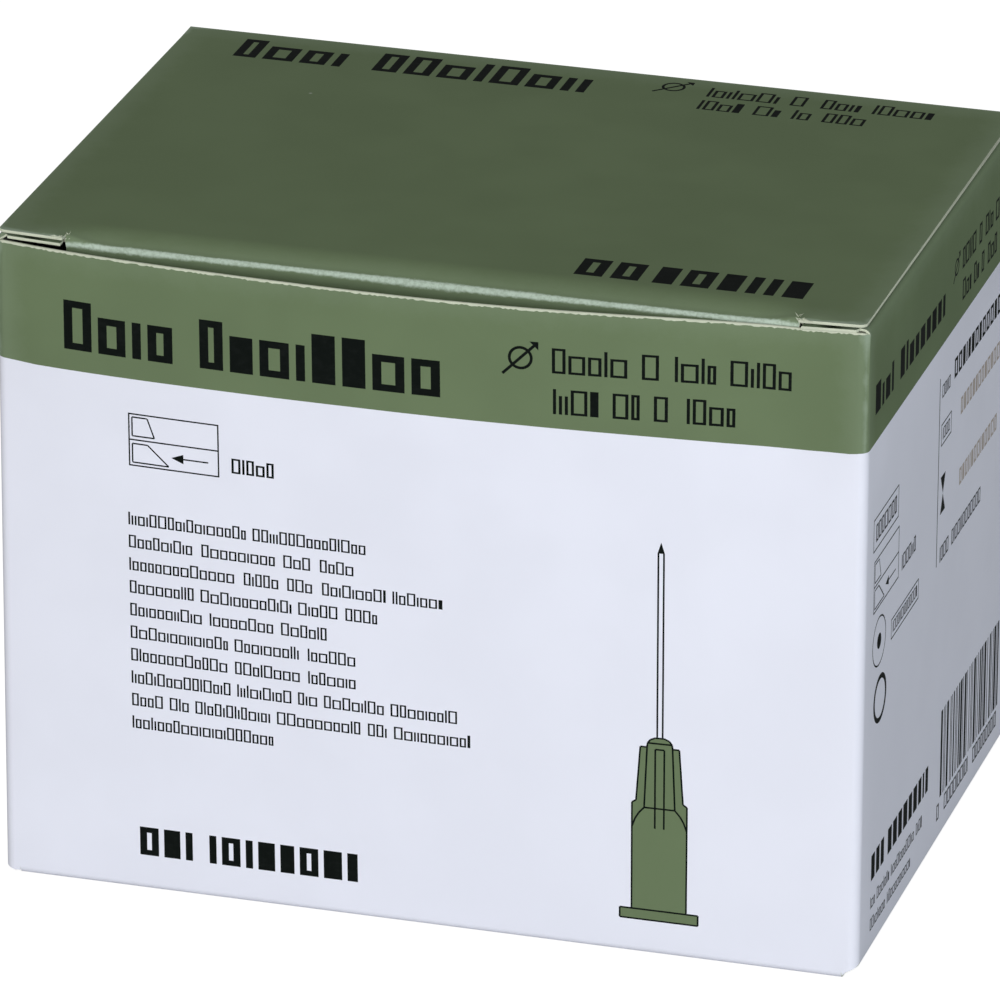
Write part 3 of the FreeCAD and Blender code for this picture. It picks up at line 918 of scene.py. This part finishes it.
class Nodes:
    """Builds a node tree. What its functions take is a number, a colour or a socket."""

    def __init__(self, tree):
        self.tree = tree

    def join(self, value, socket):
        """Gives a socket its value, or a link to another socket."""
        if isinstance(value, bpy.types.NodeSocket):
            self.tree.links.new(value, socket)
        else:
            socket.default_value = (*value, 1.0) if socket.type == "RGBA" else value

    def node(self, kind, inputs=(), **settings):
        """A new node. Its inputs are given in order, or by the names of their sockets."""
        node = self.tree.nodes.new(kind)
        for name, value in settings.items():
            setattr(node, name, value)
        for key, value in inputs.items() if isinstance(inputs, dict) else enumerate(inputs):
            self.join(value, node.inputs[key])
        return node

    def math(self, operation, *values, clamp=False):
        return self.node("ShaderNodeMath", values, operation=operation, use_clamp=clamp).outputs[0]

    def times(self, a, b):
        return self.math("MULTIPLY", a, b)

    def vector(self, operation, *values):
        return self.node("ShaderNodeVectorMath", values, operation=operation).outputs[0]

    def ramp(self, value, low, high, start=0.0, end=1.0):
        """A smooth step of a value from low to high."""
        return self.node("ShaderNodeMapRange", (value, low, high, start, end),
                         interpolation_type="SMOOTHSTEP").outputs["Result"]

    def noise(self, vector, scale, detail=2.0, rough=0.5):
        inputs = {"Vector": vector, "Scale": scale, "Detail": detail, "Roughness": rough}
        return self.node("ShaderNodeTexNoise", inputs).outputs["Fac"]

    def mix(self, share, a, b):
        """A mix of two colours."""
        return self.node("ShaderNodeMix", {0: share, 6: a, 7: b}, data_type="RGBA").outputs[2]


# Shared effects. Each takes its group's inputs and returns its outputs.

def board_fibres(tree, where, scale, stretch):
    """Paper fibres: a fine relief, and a faint mottling of the tone."""
    lengthwise = tree.node("ShaderNodeCombineXYZ", (tree.math("DIVIDE", 1.0, stretch), 1.0, 1.0)).outputs[0]
    fine = tree.noise(tree.vector("MULTIPLY", where, lengthwise), scale, detail=3.0, rough=0.6)
    coarse = tree.noise(where, tree.times(scale, 0.12))
    height = tree.math("ADD", tree.times(fine, 0.7), tree.times(coarse, 0.3))
    return {"Height": height, "Mottle": tree.ramp(coarse, 0.3, 0.7)}


def crease_wear_and_sheen(tree, where, centre, half_size, width, raggedness, corner):
    """A mask along the edges of a box: 1 on its edges, fading over a width, broken up. Narrow, it
    marks rubbed wear; made wide, it is a painted highlight along the creases.
    """
    away = tree.vector("ABSOLUTE", tree.vector("SUBTRACT", where, centre))
    x, y, z = tree.node("ShaderNodeSeparateXYZ", [tree.vector("SUBTRACT", half_size, away)]).outputs
    upper = tree.math("MAXIMUM", x, y)
    middle = tree.math("MAXIMUM", tree.math("MINIMUM", x, y), tree.math("MINIMUM", upper, z))
    ragged = tree.math("SUBTRACT", tree.noise(where, 420.0, detail=4.0, rough=0.65), 0.5)
    spread = tree.math("MAXIMUM", tree.math("MULTIPLY_ADD", ragged, tree.times(raggedness, 4.0), 1.0), 0.05)
    at_corner = tree.ramp(tree.math("MAXIMUM", upper, z), 0.0, corner, 2.5, 1.0)
    reach = tree.times(width, tree.times(spread, at_corner))
    return {"Mask": tree.ramp(middle, 0.0, reach, 1.0, 0.0)}


def fold_wear_and_sheen(tree, where, fold, width):
    """A pale line along a fold that runs across, from side to side, at a place in height and depth:
    partly rubbed ink, and partly a painted highlight on the fold's gloss.
    """
    _, y, z = tree.node("ShaderNodeSeparateXYZ", [tree.vector("SUBTRACT", where, fold)]).outputs
    away = tree.math("SQRT", tree.math("ADD", tree.math("POWER", y, 2.0), tree.math("POWER", z, 2.0)))
    broad = tree.ramp(tree.noise(where, 55.0, detail=1.0), 0.3, 0.65, 0.65, 1.2)
    fine = tree.ramp(tree.noise(where, 1500.0, detail=5.0, rough=0.75), 0.3, 0.7, 0.75, 1.15)
    reach = tree.times(width, tree.times(broad, fine))
    band = tree.ramp(away, tree.times(reach, 0.35), reach, 1.0, 0.0)
    patchy = tree.ramp(tree.noise(where, 2600.0, detail=3.0, rough=0.6), 0.35, 0.6, 0.7, 1.0)
    return {"Mask": tree.times(band, patchy)}


def dust_specks(tree, where, scale, size):
    """Tiny specks of dust and fibre, far apart."""
    cells = tree.node("ShaderNodeTexVoronoi", {"Vector": where, "Scale": scale}).outputs
    chance = tree.node("ShaderNodeSeparateColor", [cells["Color"]]).outputs
    size = tree.times(size, chance[0])
    near = tree.ramp(cells["Distance"], tree.times(size, 0.6), size, 1.0, 0.0)
    return {"Mask": tree.times(near, tree.math("GREATER_THAN", chance[1], 0.72))}


# The inputs of each group with their defaults. An input without one is a vector.
EFFECTS = {
    "Board Fibres": (board_fibres, {"Vector": None, "Scale": 900.0, "Stretch": 3.0}),
    "Crease Wear And Sheen": (crease_wear_and_sheen, {"Vector": None, "Centre": None, "Half Size": None, "Width": 0.001,
                                  "Raggedness": 0.5, "Corner": 0.004}),
    "Fold Wear And Sheen": (fold_wear_and_sheen, {"Vector": None, "Fold": None, "Width": 0.0005}),
    "Dust Specks": (dust_specks, {"Vector": None, "Scale": 120.0, "Size": 0.05}),
}


def effect_group(name):
    """The shader node group of a shared effect, which is made when it is first asked for."""
    if name in bpy.data.node_groups:
        return bpy.data.node_groups[name]
    build, inputs = EFFECTS[name]
    group = bpy.data.node_groups.new(name, "ShaderNodeTree")
    for label, default in inputs.items():
        kind = "NodeSocketVector" if default is None else "NodeSocketFloat"
        socket = group.interface.new_socket(name=label, in_out="INPUT", socket_type=kind)
        if default is not None:
            socket.default_value = default
    tree = Nodes(group)
    source = tree.node("NodeGroupInput")
    results = build(tree, *source.outputs[:len(inputs)])
    for label in results:
        group.interface.new_socket(name=label, in_out="OUTPUT", socket_type="NodeSocketFloat")
    tree.node("NodeGroupOutput", results)
    return group


# Materials

SPECK_COLOUR = (0.62, 0.64, 0.60)
FAINT_INK = (0.42, 0.37, 0.33)
INSIDE_FLECK = (0.30, 0.27, 0.22)
EDGE_FLECK = (0.40, 0.38, 0.28)
# Width of the rubbed line along the creases, which the painted highlights are also sized from
WEAR_AND_SHEEN_WIDTH = 0.0006
# How much wider the painted highlight along the creases is than the rubbed line
BROAD_SHEEN_SPREAD = 7
WEAR_SHARE = 0.4
# How strongly the painted highlight along the creases shows
BROAD_SHEEN_SHARE = 0.08
WHITE = (1.0, 1.0, 1.0)


class Paint(Nodes):
    """A new material and the functions that build its shader."""

    def __init__(self, name):
        self.material = bpy.data.materials.new(name)
        self.material.use_nodes = True
        super().__init__(self.material.node_tree)
        self.where = self.node("ShaderNodeTexCoord").outputs["Object"]

    def effect(self, name, *values):
        """The outputs of a shared effect, at the object's own coordinates."""
        return self.node("ShaderNodeGroup", (self.where, *values), node_tree=effect_group(name)).outputs

    def uneven(self, share, reach, start):
        return self.math("MULTIPLY_ADD", share, reach, start)

    def finish(self, tone, rough, gloss=0.5, relief=None, **uniform):
        """Joins colour, roughness and relief to the shader and sets its uniform values. A relief
        is a height, how strongly it shows and its depth in metres."""
        inputs = {"Base Color": tone, "Roughness": rough, "Specular IOR Level": gloss}
        inputs |= {label.replace("_", " "): value for label, value in uniform.items()}
        if relief:
            relief = dict(zip(("Height", "Strength", "Distance"), relief))
            inputs["Normal"] = self.node("ShaderNodeBump", relief).outputs[0]
        for label, value in inputs.items():
            self.join(value, self.tree.nodes["Principled BSDF"].inputs[label])
        return self.material


def tinted(colour, share):
    return [channel * share for channel in colour]


def coated_material(name, colour, worn_and_sheen, rough, mottle, dust, gloss=0.015, fold=None):
    """Coated and varnished board in one colour, rubbed pale along its creases and its fold. The same
    pale colour is painted in a soft wide strip along the creases, a painted highlight on the band ink,
    and the pale line on the fold is partly a painted highlight.
    """
    paint = Paint(name)
    low = Vector((-HALF_WIDTH, FRONT, 0)) * MM
    high = Vector((HALF_WIDTH, BACK, HEIGHT)) * MM
    box = ((low + high) / 2, (high - low) / 2)
    height, patches = paint.effect("Board Fibres", 700.0, 2.0)
    wear, = paint.effect("Crease Wear And Sheen", *box, WEAR_AND_SHEEN_WIDTH, 0.5)
    # A soft wide strip along the creases: a painted highlight on the band ink, faintly darker on the white
    broad, = paint.effect("Crease Wear And Sheen", *box, WEAR_AND_SHEEN_WIDTH * BROAD_SHEEN_SPREAD, 0.25)
    specks, = paint.effect("Dust Specks", 110.0, 0.05)
    drift = paint.ramp(paint.noise(paint.where, 22.0), 0.35, 0.65, 0.0, 0.5)
    tone = paint.mix(patches, colour, tinted(colour, 1 - mottle))
    tone = paint.mix(drift, tone, tinted(colour, 1 - mottle * 0.8))
    tone = paint.mix(paint.times(broad, BROAD_SHEEN_SHARE), tone, worn_and_sheen)
    tone = paint.mix(paint.times(wear, WEAR_SHARE), tone, worn_and_sheen)
    if fold is not None:
        # The pale line on the lid's fold, partly rubbed ink and partly a painted highlight
        rubbed, = paint.effect("Fold Wear And Sheen", fold, WEAR_AND_SHEEN_WIDTH)
        tone = paint.mix(rubbed, tone, worn_and_sheen)
    tone = paint.mix(paint.times(specks, dust), tone, SPECK_COLOUR)
    rough = paint.uneven(patches, 0.05, paint.uneven(wear, 0.25, rough))
    return paint.finish(tone, rough, gloss, (height, 0.25, 0.00004))


def uncoated_material(name, colour, scale, depth, fleck):
    """Bare board: rough, fibrous and flecked."""
    paint = Paint(name)
    height, patches = paint.effect("Board Fibres", scale, 4.0)
    specks, = paint.effect("Dust Specks", 420.0, 0.16)
    tone = paint.mix(patches, colour, tinted(colour, 0.93))
    tone = paint.mix(paint.times(height, 0.3), tone, tinted(colour, 0.75))
    tone = paint.mix(paint.times(specks, 0.55), tone, fleck)
    return paint.finish(tone, paint.uneven(patches, 0.08, 0.86), 0.15, (height, 0.6, depth))


def ink_material(name, colour, rough):
    """Solid dark ink, slightly starved where the board is rough."""
    paint = Paint(name)
    height, patches = paint.effect("Board Fibres", 1400.0, 1.5)
    starved = paint.ramp(height, 0.45, 0.75, 0.0, 0.3)
    tone = paint.mix(starved, colour, [channel * 1.6 + 0.008 for channel in colour])
    return paint.finish(tone, paint.uneven(patches, 0.08, rough), 0.01, (height, 0.2, 0.00003))


def plastic_material(name, colour, rough, alpha=1.0):
    """Moulded or formed plastic with a faint unevenness of its gloss."""
    paint = Paint(name)
    drift = paint.noise(paint.where, 260.0)
    tone = paint.mix(paint.ramp(drift, 0.35, 0.65, 0.0, 0.35), colour, tinted(colour, 0.88))
    return paint.finish(tone, paint.uneven(drift, 0.12, rough), relief=(drift, 0.15, 0.00006), Alpha=alpha)


def fibrous_material(name, colour, grain, shade, rough, uneven=0.08, gloss=0.5, relief=(0.0, 0.0), **uniform):
    """A stock whose tone, gloss and relief follow its fibres. grain gives their scale and
    stretch, and relief how strongly it shows and its depth."""
    paint = Paint(name)
    height, patches = paint.effect("Board Fibres", *grain)
    tone = paint.mix(patches, colour, tinted(colour, shade))
    relief = (height, *relief) if any(relief) else None
    return paint.finish(tone, paint.uneven(patches, uneven, rough), gloss, relief, **uniform)


def board_inks(settings):
    """The materials that a printed sheet of board is made of, by name."""
    if "board_white" not in bpy.data.materials:
        stock = settings.white_stock
        coated_material("board_white", stock, tinted(stock, 0.96), 0.42, 0.035, 0.12, gloss=0.08)
        coated_material("board_band", settings.band_ink, settings.worn_ink_and_sheen, 0.45, 0.07, 0.5)
        ink_material("board_ink", settings.dark_ink, 0.38)
        ink_material("board_faint", FAINT_INK, 0.5)
        uncoated_material("board_inside", settings.inner_board, 900.0, 0.00006, INSIDE_FLECK)
        uncoated_material("board_edge", settings.raw_edge, 2600.0, 0.00012, EDGE_FLECK)
    return {name: bpy.data.materials["board_" + name]
            for name in ("white", "band", "ink", "faint", "inside", "edge")}


# Pieces

def make_body(settings):
    sheet = CartonBlank(settings)
    start = sheet.run.start_of
    band = settings.band_level / MM
    bleed = sheet.side_fold + sheet.side_arc + BAND_BLEED
    middle = start(FRONT_PANEL) + HALF_WIDTH - sheet.corner
    low = [(middle + x, band - droop) for x, droop in BAND_DROOP]
    end = sheet.run.length + BAND_OVERRUN
    sheet.print([[(-BAND_OVERRUN, band), *low, (end, band), (end, bleed), (-BAND_OVERRUN, bleed)]], "band")
    front_print(sheet, (middle, 0))
    edge = Panel(sheet, (middle, 0), "band", 41)
    edge.ragged_strip(-HALF_WIDTH, HALF_WIDTH, lambda x: sheet.front_edge(x - HALF_WIDTH + sheet.corner),
                      CHIP_DEPTH, "edge")
    side_print(sheet, (start(RIGHT) - FRONT - sheet.corner, 0))
    mesh = sheet.mesh("carton_board", board_inks(settings))
    add_piece("carton_board", mesh, "carton", ["carton_body"])


def make_lid(settings):
    sheet = LidBlank(settings)
    lid_print(sheet, (0, -HINGE.y))
    # Where the lid's fold has its pale line, partly rubbed ink and partly a painted highlight
    angle = math.pi / 4
    crease_y = HINGE.y - LID_REACH + sheet.fold * (1 - math.sin(angle))
    crease_z = HEIGHT - sheet.sag - sheet.fold * (1 - math.cos(angle))
    inks = board_inks(settings)
    inks["band"] = coated_material("lid_band", settings.band_ink, settings.worn_ink_and_sheen, 0.45, 0.07, 0.5,
                                   fold=Vector((0, crease_y, crease_z)) * MM)
    add_piece("lid_board", sheet.mesh("lid_board", inks), "lid", ["lid"])


# The blister from its foot to its head, as (z, half width, depth)
BLISTER = [(7.0, 3.3, 3.2), (8.2, 3.9, 5.2), (9.4, 4.05, 5.95), (22.0, 4.05, 5.95), (25.5, 3.5, 5.3),
           (50.0, 3.3, 4.9), (51.6, 3.2, 4.4), (53.0, 2.9, 3.0)]
BLISTER_MIDDLE = 20
BLISTER_ROUNDNESS = 0.72
TEETH = 14
TOOTH = 0.35
FLANGE = 0.06
FLANGE_SETBACK = 0.3

# The needle's axis, and the profiles turned about it, as shares of a radius and rises from a foot
AXIS = (0.0, 2.75)
HUB_FOOT = 9.6
SHEATH_FOOT = 19.6
HUB = [(0.86, 0.0), (1.0, 0.15), (1.0, 1.0), (0.86, 1.25), (0.80, 7.2), (0.5, 8.6), (0.44, 12.2), (0.3, 12.8)]
SHEATH = [(1.1, 0.0), (1.14, 0.2), (1.14, 1.6), (1.0, 1.9), (0.86, 29.2), (0.6, 30.3), (0.2, 30.6)]
NEEDLE = [(1.0, 12.4), (1.0, 23.6), (0.15, 24.8)]
RIB_HALF = 0.22
SIDE_RIB_HALF = 0.25
RIB_FOOT = HUB_FOOT + 6.6
RIB_HEAD = HUB_FOOT + 10.4


def turned_part(profile, radius, foot, sides=14):
    """A closed form turned about the needle's axis."""
    x, y = AXIS
    verts = [(x + radius * share * math.cos(angle), y + radius * share * math.sin(angle), foot + rise)
             for share, rise in profile for angle in evenly(0, math.tau, sides)[:-1]]
    last = len(verts) - sides
    faces = [(low + side, low + after, low + sides + after, low + sides + side)
             for low in range(0, last, sides) for side in range(sides) for after in [(side + 1) % sides]]
    return verts, faces + [tuple(reversed(range(sides))), tuple(range(last, len(verts)))]


def block(low, high):
    """A plain closed block."""
    verts = [(x, y, z) for z in (low[2], high[2]) for y in (low[1], high[1]) for x in (low[0], high[0])]
    return verts, [(0, 2, 3, 1), (4, 5, 7, 6), (0, 1, 5, 4), (2, 6, 7, 3), (0, 4, 6, 2), (1, 3, 7, 5)]


def paper_part(settings):
    """The sealed sheet, with the fine teeth of its cut at both ends."""
    half = settings.width / MM / 2
    cut = [(x, TOOTH * (step % 2)) for step, x in enumerate(evenly(-half, 2 * half, 2 * TEETH))]
    rim = cut + [(-x, PACK_HEIGHT - lift) for x, lift in cut]
    count = len(rim)
    verts = [(x, y, z) for y in (0.0, settings.paper / MM) for x, z in rim]
    front = delaunay_2d_cdt([Vector(p) for p in rim], [], [list(range(count))], 1, 1e-5)[2]
    faces = [tuple(face) for face in front]
    faces += [tuple(count + index for index in reversed(face)) for face in front]
    faces += [(index, count + index, count + after, after)
              for index in range(count) for after in [(index + 1) % count]]
    return verts, faces


def blister_ring(half, depth, base):
    """Half a rounded box on the paper, seen along the pack."""
    radius = min(half, depth - base) * BLISTER_ROUNDNESS
    arc = [(radius - half - radius * math.cos(angle), depth - radius + radius * math.sin(angle))
           for angle in evenly(0, math.pi / 2, 4)]
    return mirrored([(-half, base), *arc])


def film_part(settings):
    """The formed film: a flat flange sealed to the paper and the blister over the needle."""
    base = settings.paper / MM
    verts = []
    faces = []
    shells = []
    for inset in (0.0, settings.film / MM):
        rings = []
        for z, half, depth in BLISTER:
            z += inset if z < BLISTER_MIDDLE else -inset
            ring = blister_ring(half - inset, depth - inset, base)
            rings.append(list(range(len(verts), len(verts) + len(ring))))
            verts += [(x, y, z) for x, y in ring]
        shells.append(rings)

    def add(face, turned):
        faces.append(tuple(face[::-1] if turned else face))

    for turned, rings in enumerate(shells):
        for low, high in zip(rings, rings[1:]):
            for index in range(len(low) - 1):
                add((low[index], high[index], high[index + 1], low[index + 1]), turned)
        add(rings[0], turned)
        add(rings[-1], not turned)
    outer, inner = shells
    for side in (0, -1):
        outside = [ring[side] for ring in outer]
        inside = [ring[side] for ring in inner]
        for face in zip(outside, outside[1:], inside[1:], inside):
            add(face, side == 0)
    for end in (0, -1):
        add((outer[end][0], outer[end][-1], inner[end][-1], inner[end][0]), end == -1)
    half = settings.width / MM / 2 - FLANGE_SETBACK
    foot = 2 * FLANGE_SETBACK
    return joined([(verts, faces), block((-half, base, foot), (half, base + FLANGE, PACK_HEIGHT - foot))])


def hub_part(settings):
    """The hub: a flanged socket with four ribs, and the nose that grips the needle."""
    radius = settings.hub_radius / MM
    x, y = AXIS
    ribs = [(x + lean * radius * 0.62, SIDE_RIB_HALF, RIB_HALF) for lean in (-1, 1)]
    ribs.append((x, RIB_HALF, radius * 0.78))
    blocks = [block((middle - wide, y - deep, RIB_FOOT), (middle + wide, y + deep, RIB_HEAD))
              for middle, wide, deep in ribs]
    return joined([turned_part(HUB, radius, HUB_FOOT), *blocks])


def sheath_part(settings):
    """The sheath over the needle: a long tapered cap with a collar."""
    return turned_part(SHEATH, settings.sheath_radius / MM, SHEATH_FOOT)


def needle_part(settings):
    """The steel tube with its bevelled point, inside the sheath."""
    return turned_part(NEEDLE, settings.needle_radius / MM, HUB_FOOT, 8)


def pack_rows_tree():
    """Geometry Nodes for the packs: a block of facing rows made from one pack's piece."""
    group = bpy.data.node_groups.new("Pack Rows", "GeometryNodeTree")
    for label, kind in (("Piece", "Object"), ("Columns", "Int"), ("Layers", "Int"), ("Column Pitch", "Float"),
                        ("Layer Pitch", "Float"), ("First Place", "Vector"), ("Facing Place", "Vector"),
                        ("Material", "Material")):
        group.interface.new_socket(name=label, in_out="INPUT", socket_type="NodeSocket" + kind)
    group.interface.new_socket(name="Geometry", in_out="OUTPUT", socket_type="NodeSocketGeometry")
    tree = Nodes(group)
    source = tree.node("NodeGroupInput").outputs
    piece = tree.node("GeometryNodeObjectInfo", {"Object": source["Piece"]}, transform_space="ORIGINAL")
    grid = {}
    for axis, count, pitch in (("X", "Columns", "Column Pitch"), ("Y", "Layers", "Layer Pitch")):
        grid["Size " + axis] = tree.times(tree.math("SUBTRACT", source[count], 1.0), source[pitch])
        grid["Vertices " + axis] = source[count]
    points = tree.node("GeometryNodeMeshGrid", grid).outputs["Mesh"]
    rows = tree.node("GeometryNodeJoinGeometry")
    for place, turn in (("First Place", 0.0), ("Facing Place", math.pi)):
        copies = tree.node("GeometryNodeInstanceOnPoints", {
            "Points": points, "Instance": piece.outputs["Geometry"], "Rotation": (turn, 0.0, 0.0)})
        shifted = tree.node("GeometryNodeTransform", {
            "Geometry": copies.outputs["Instances"], "Translation": source[place]})
        tree.join(shifted.outputs["Geometry"], rows.inputs["Geometry"])
    real = tree.node("GeometryNodeRealizeInstances", {"Geometry": rows.outputs["Geometry"]})
    finish = tree.node("GeometryNodeSetMaterial", {
        "Geometry": real.outputs["Geometry"], "Material": source["Material"]})
    tree.node("NodeGroupOutput", {"Geometry": finish.outputs["Geometry"]})
    return group


def repeat_in_rows(name, part, material, settings):
    """One piece of every pack, as one mesh."""
    verts, faces = part(settings)
    pattern_mesh = finished_mesh(name + "_pattern", verts, faces, [material] * len(faces), 35.0)
    pattern = bpy.data.objects.new(name + "_pattern", pattern_mesh)
    first_low, first_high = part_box(PACK_ROWS[0])
    facing_low, facing_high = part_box(PACK_ROWS[1])
    depth = (settings.layers - 1) * settings.layer_pitch / 2
    values = {
        "Piece": pattern, "Columns": settings.columns, "Layers": settings.layers,
        "Column Pitch": settings.pitch, "Layer Pitch": settings.layer_pitch,
        "First Place": ((first_low.x + first_high.x) / 2, first_low.y + depth, first_low.z),
        "Facing Place": ((facing_low.x + facing_high.x) / 2, facing_high.y + depth, facing_high.z),
        "Material": material,
    }
    holder = add_object(name, bpy.data.meshes.new(name + "_rows"))
    modifier = holder.modifiers.new("Pack Rows", "NODES")
    modifier.node_group = bpy.data.node_groups.get("Pack Rows") or pack_rows_tree()
    for item in modifier.node_group.interface.items_tree:
        if item.in_out == "INPUT":
            modifier[item.identifier] = values[item.name]
    evaluated = holder.evaluated_get(bpy.context.evaluated_depsgraph_get())
    mesh = bpy.data.meshes.new_from_object(evaluated)
    mesh.name = name
    bpy.data.objects.remove(holder)
    bpy.data.objects.remove(pattern)
    add_piece(name, mesh, "carton", PACK_ROWS)


def make_packs(settings):
    paper = fibrous_material("pack_paper", settings.paper_colour, (1100.0, 2.5), 0.93, 0.7, gloss=0.25,
                             relief=(0.4, 0.00005))
    film = plastic_material("pack_film", settings.film_colour, 0.12, alpha=0.28)
    repeat_in_rows("pack_papers", paper_part, paper, settings)
    repeat_in_rows("pack_blisters", film_part, film, settings)


def make_needles(settings):
    hub = plastic_material("hub_plastic", settings.hub_colour, 0.35)
    sheath = plastic_material("sheath_plastic", settings.sheath_colour, 0.3, alpha=0.7)
    steel = fibrous_material("needle_steel", settings.steel_colour, (3000.0, 0.1), 0.85, 0.2, uneven=0.1,
                             Metallic=1.0)
    repeat_in_rows("needle_hubs", hub_part, hub, settings)
    repeat_in_rows("needle_sheaths", sheath_part, sheath, settings)
    repeat_in_rows("needle_tubes", needle_part, steel, settings)


# Stage

FLOOR_SIZE = 6.0
FLOOR_GLOW = 0.85
SENSOR_WIDTH = 36.0

# Name, place, point that it faces, size and colour of each lamp, in metres
KEY_LAMP = ("key_light", (0.24, -1.37, 0.36), (0, 0, 0.04), 0.9, WHITE)
FILL_LAMP = ("fill_light", (0.62, -0.42, 0.24), (0.0485, -0.02, 0.06), 0.4, (0.73, 0.87, 1.0))


def camera_only(tree):
    """1 for rays that see the background, straight or through glass, and 0 for the rest."""
    path = tree.node("ShaderNodeLightPath").outputs
    return tree.math("ADD", path["Is Camera Ray"], path["Is Transmission Ray"], clamp=True)


def make_floor(settings):
    mesh = bpy.data.meshes.new("studio_floor")
    corners = rectangle(-FLOOR_SIZE, -FLOOR_SIZE, FLOOR_SIZE, FLOOR_SIZE)
    mesh.from_pydata([(x, y, -FLOOR_GAP * MM) for x, y in corners], [], [(0, 1, 2, 3)])
    floor = add_object("studio_floor", mesh)
    paint = Paint("studio_floor")
    glow = paint.times(camera_only(paint), FLOOR_GLOW)
    mesh.materials.append(paint.finish(settings.floor_colour, 0.9, gloss=0.0, Emission_Color=WHITE,
                                       Emission_Strength=glow))


def make_world(settings):
    world = bpy.data.worlds.new("studio")
    world.use_nodes = True
    tree = Nodes(world.node_tree)
    background = world.node_tree.nodes["Background"].inputs
    tree.join(WHITE, background["Color"])
    tree.join(tree.ramp(camera_only(tree), 0.0, 1.0, settings.ambient, 1.0), background["Strength"])
    bpy.context.scene.world = world


def make_lamp(name, place, target, size, colour, power):
    """A soft square lamp that faces a point."""
    data = bpy.data.lights.new(name, "AREA")
    data.color = colour
    data.shape = "SQUARE"
    data.size = size
    data.energy = power
    lamp = add_object(name, data)
    lamp.location = place
    lamp.rotation_euler = (Vector(target) - Vector(place)).to_track_quat("-Z", "Y").to_euler()


def make_camera(settings):
    azimuth = settings.camera_azimuth
    elevation = settings.camera_elevation
    forward = Vector((-math.sin(azimuth) * math.cos(elevation), math.cos(azimuth) * math.cos(elevation),
                      -math.sin(elevation)))
    data = bpy.data.cameras.new("camera")
    data.lens = settings.lens
    data.sensor_width = SENSOR_WIDTH
    data.clip_start = 0.01
    camera = add_object("camera", data)
    camera.location = Vector(settings.camera_target) - forward * settings.camera_distance
    spin = Matrix.Rotation(-settings.camera_roll, 3, forward)
    camera.rotation_euler = (spin @ forward.to_track_quat("-Z", "Y").to_matrix()).to_euler()
    bpy.context.scene.camera = camera


def make_stage(settings):
    make_floor(settings)
    make_world(settings)
    make_lamp(*KEY_LAMP, settings.key_power)
    make_lamp(*FILL_LAMP, settings.fill_power)
    make_camera(settings)
    bpy.context.scene.view_settings.view_transform = "Standard"


# Operators and panel

class CARTON_OT_add_body(bpy.types.Operator):
    """Fold the printed carton board and put it in place of the plain body"""

    bl_idname = "carton.add_body"
    bl_label = "Add Carton Board"

    def execute(self, context):
        make_body(context.scene.carton)
        return {"FINISHED"}


class CARTON_OT_add_lid(bpy.types.Operator):
    """Fold the printed lid with its tuck flap and put it in place of the plain lid"""

    bl_idname = "carton.add_lid"
    bl_label = "Add Lid Board"

    def execute(self, context):
        make_lid(context.scene.carton)
        return {"FINISHED"}


class CARTON_OT_add_packs(bpy.types.Operator):
    """Fill the carton with peel packs of paper and formed film"""

    bl_idname = "carton.add_packs"
    bl_label = "Add Peel Packs"

    def execute(self, context):
        make_packs(context.scene.carton_packs)
        return {"FINISHED"}


class CARTON_OT_add_needles(bpy.types.Operator):
    """Put a needle with hub and sheath into every pack"""

    bl_idname = "carton.add_needles"
    bl_label = "Add Needles"

    def execute(self, context):
        make_needles(context.scene.carton_packs)
        return {"FINISHED"}


class CARTON_OT_add_stage(bpy.types.Operator):
    """Add the floor, the lights and the camera"""

    bl_idname = "carton.add_stage"
    bl_label = "Add Stage"

    def execute(self, context):
        make_stage(context.scene.carton_stage)
        return {"FINISHED"}


class CARTON_PT_panel(bpy.types.Panel):
    """Lists the carton's pieces and settings"""

    bl_idname = "CARTON_PT_panel"
    bl_label = "Needle Carton"
    bl_space_type = "VIEW_3D"
    bl_region_type = "UI"
    bl_category = "Carton"

    def draw(self, context):
        scene = context.scene
        for settings, operators in (
                (scene.carton, (CARTON_OT_add_body, CARTON_OT_add_lid)),
                (scene.carton_packs, (CARTON_OT_add_packs, CARTON_OT_add_needles)),
                (scene.carton_stage, (CARTON_OT_add_stage,))):
            box = self.layout.box()
            for name in settings.__annotations__:
                box.prop(settings, name)
            for operator in operators:
                box.operator(operator.bl_idname)


CLASSES = (
    CartonSettings, PackSettings, StageSettings, CARTON_OT_add_body, CARTON_OT_add_lid, CARTON_OT_add_packs,
    CARTON_OT_add_needles, CARTON_OT_add_stage, CARTON_PT_panel,
)


def register():
    for item in CLASSES:
        bpy.utils.register_class(item)
    bpy.types.Scene.carton = PointerProperty(type=CartonSettings)
    bpy.types.Scene.carton_packs = PointerProperty(type=PackSettings)
    bpy.types.Scene.carton_stage = PointerProperty(type=StageSettings)


def unregister():
    del bpy.types.Scene.carton_stage
    del bpy.types.Scene.carton_packs
    del bpy.types.Scene.carton
    for item in reversed(CLASSES):
        bpy.utils.unregister_class(item)


def main():
    register()
    bpy.ops.carton.add_stage()
    bpy.ops.carton.add_body()
    bpy.ops.carton.add_lid()
    bpy.ops.carton.add_packs()
    bpy.ops.carton.add_needles()


if __name__ == "__main__":
    main()
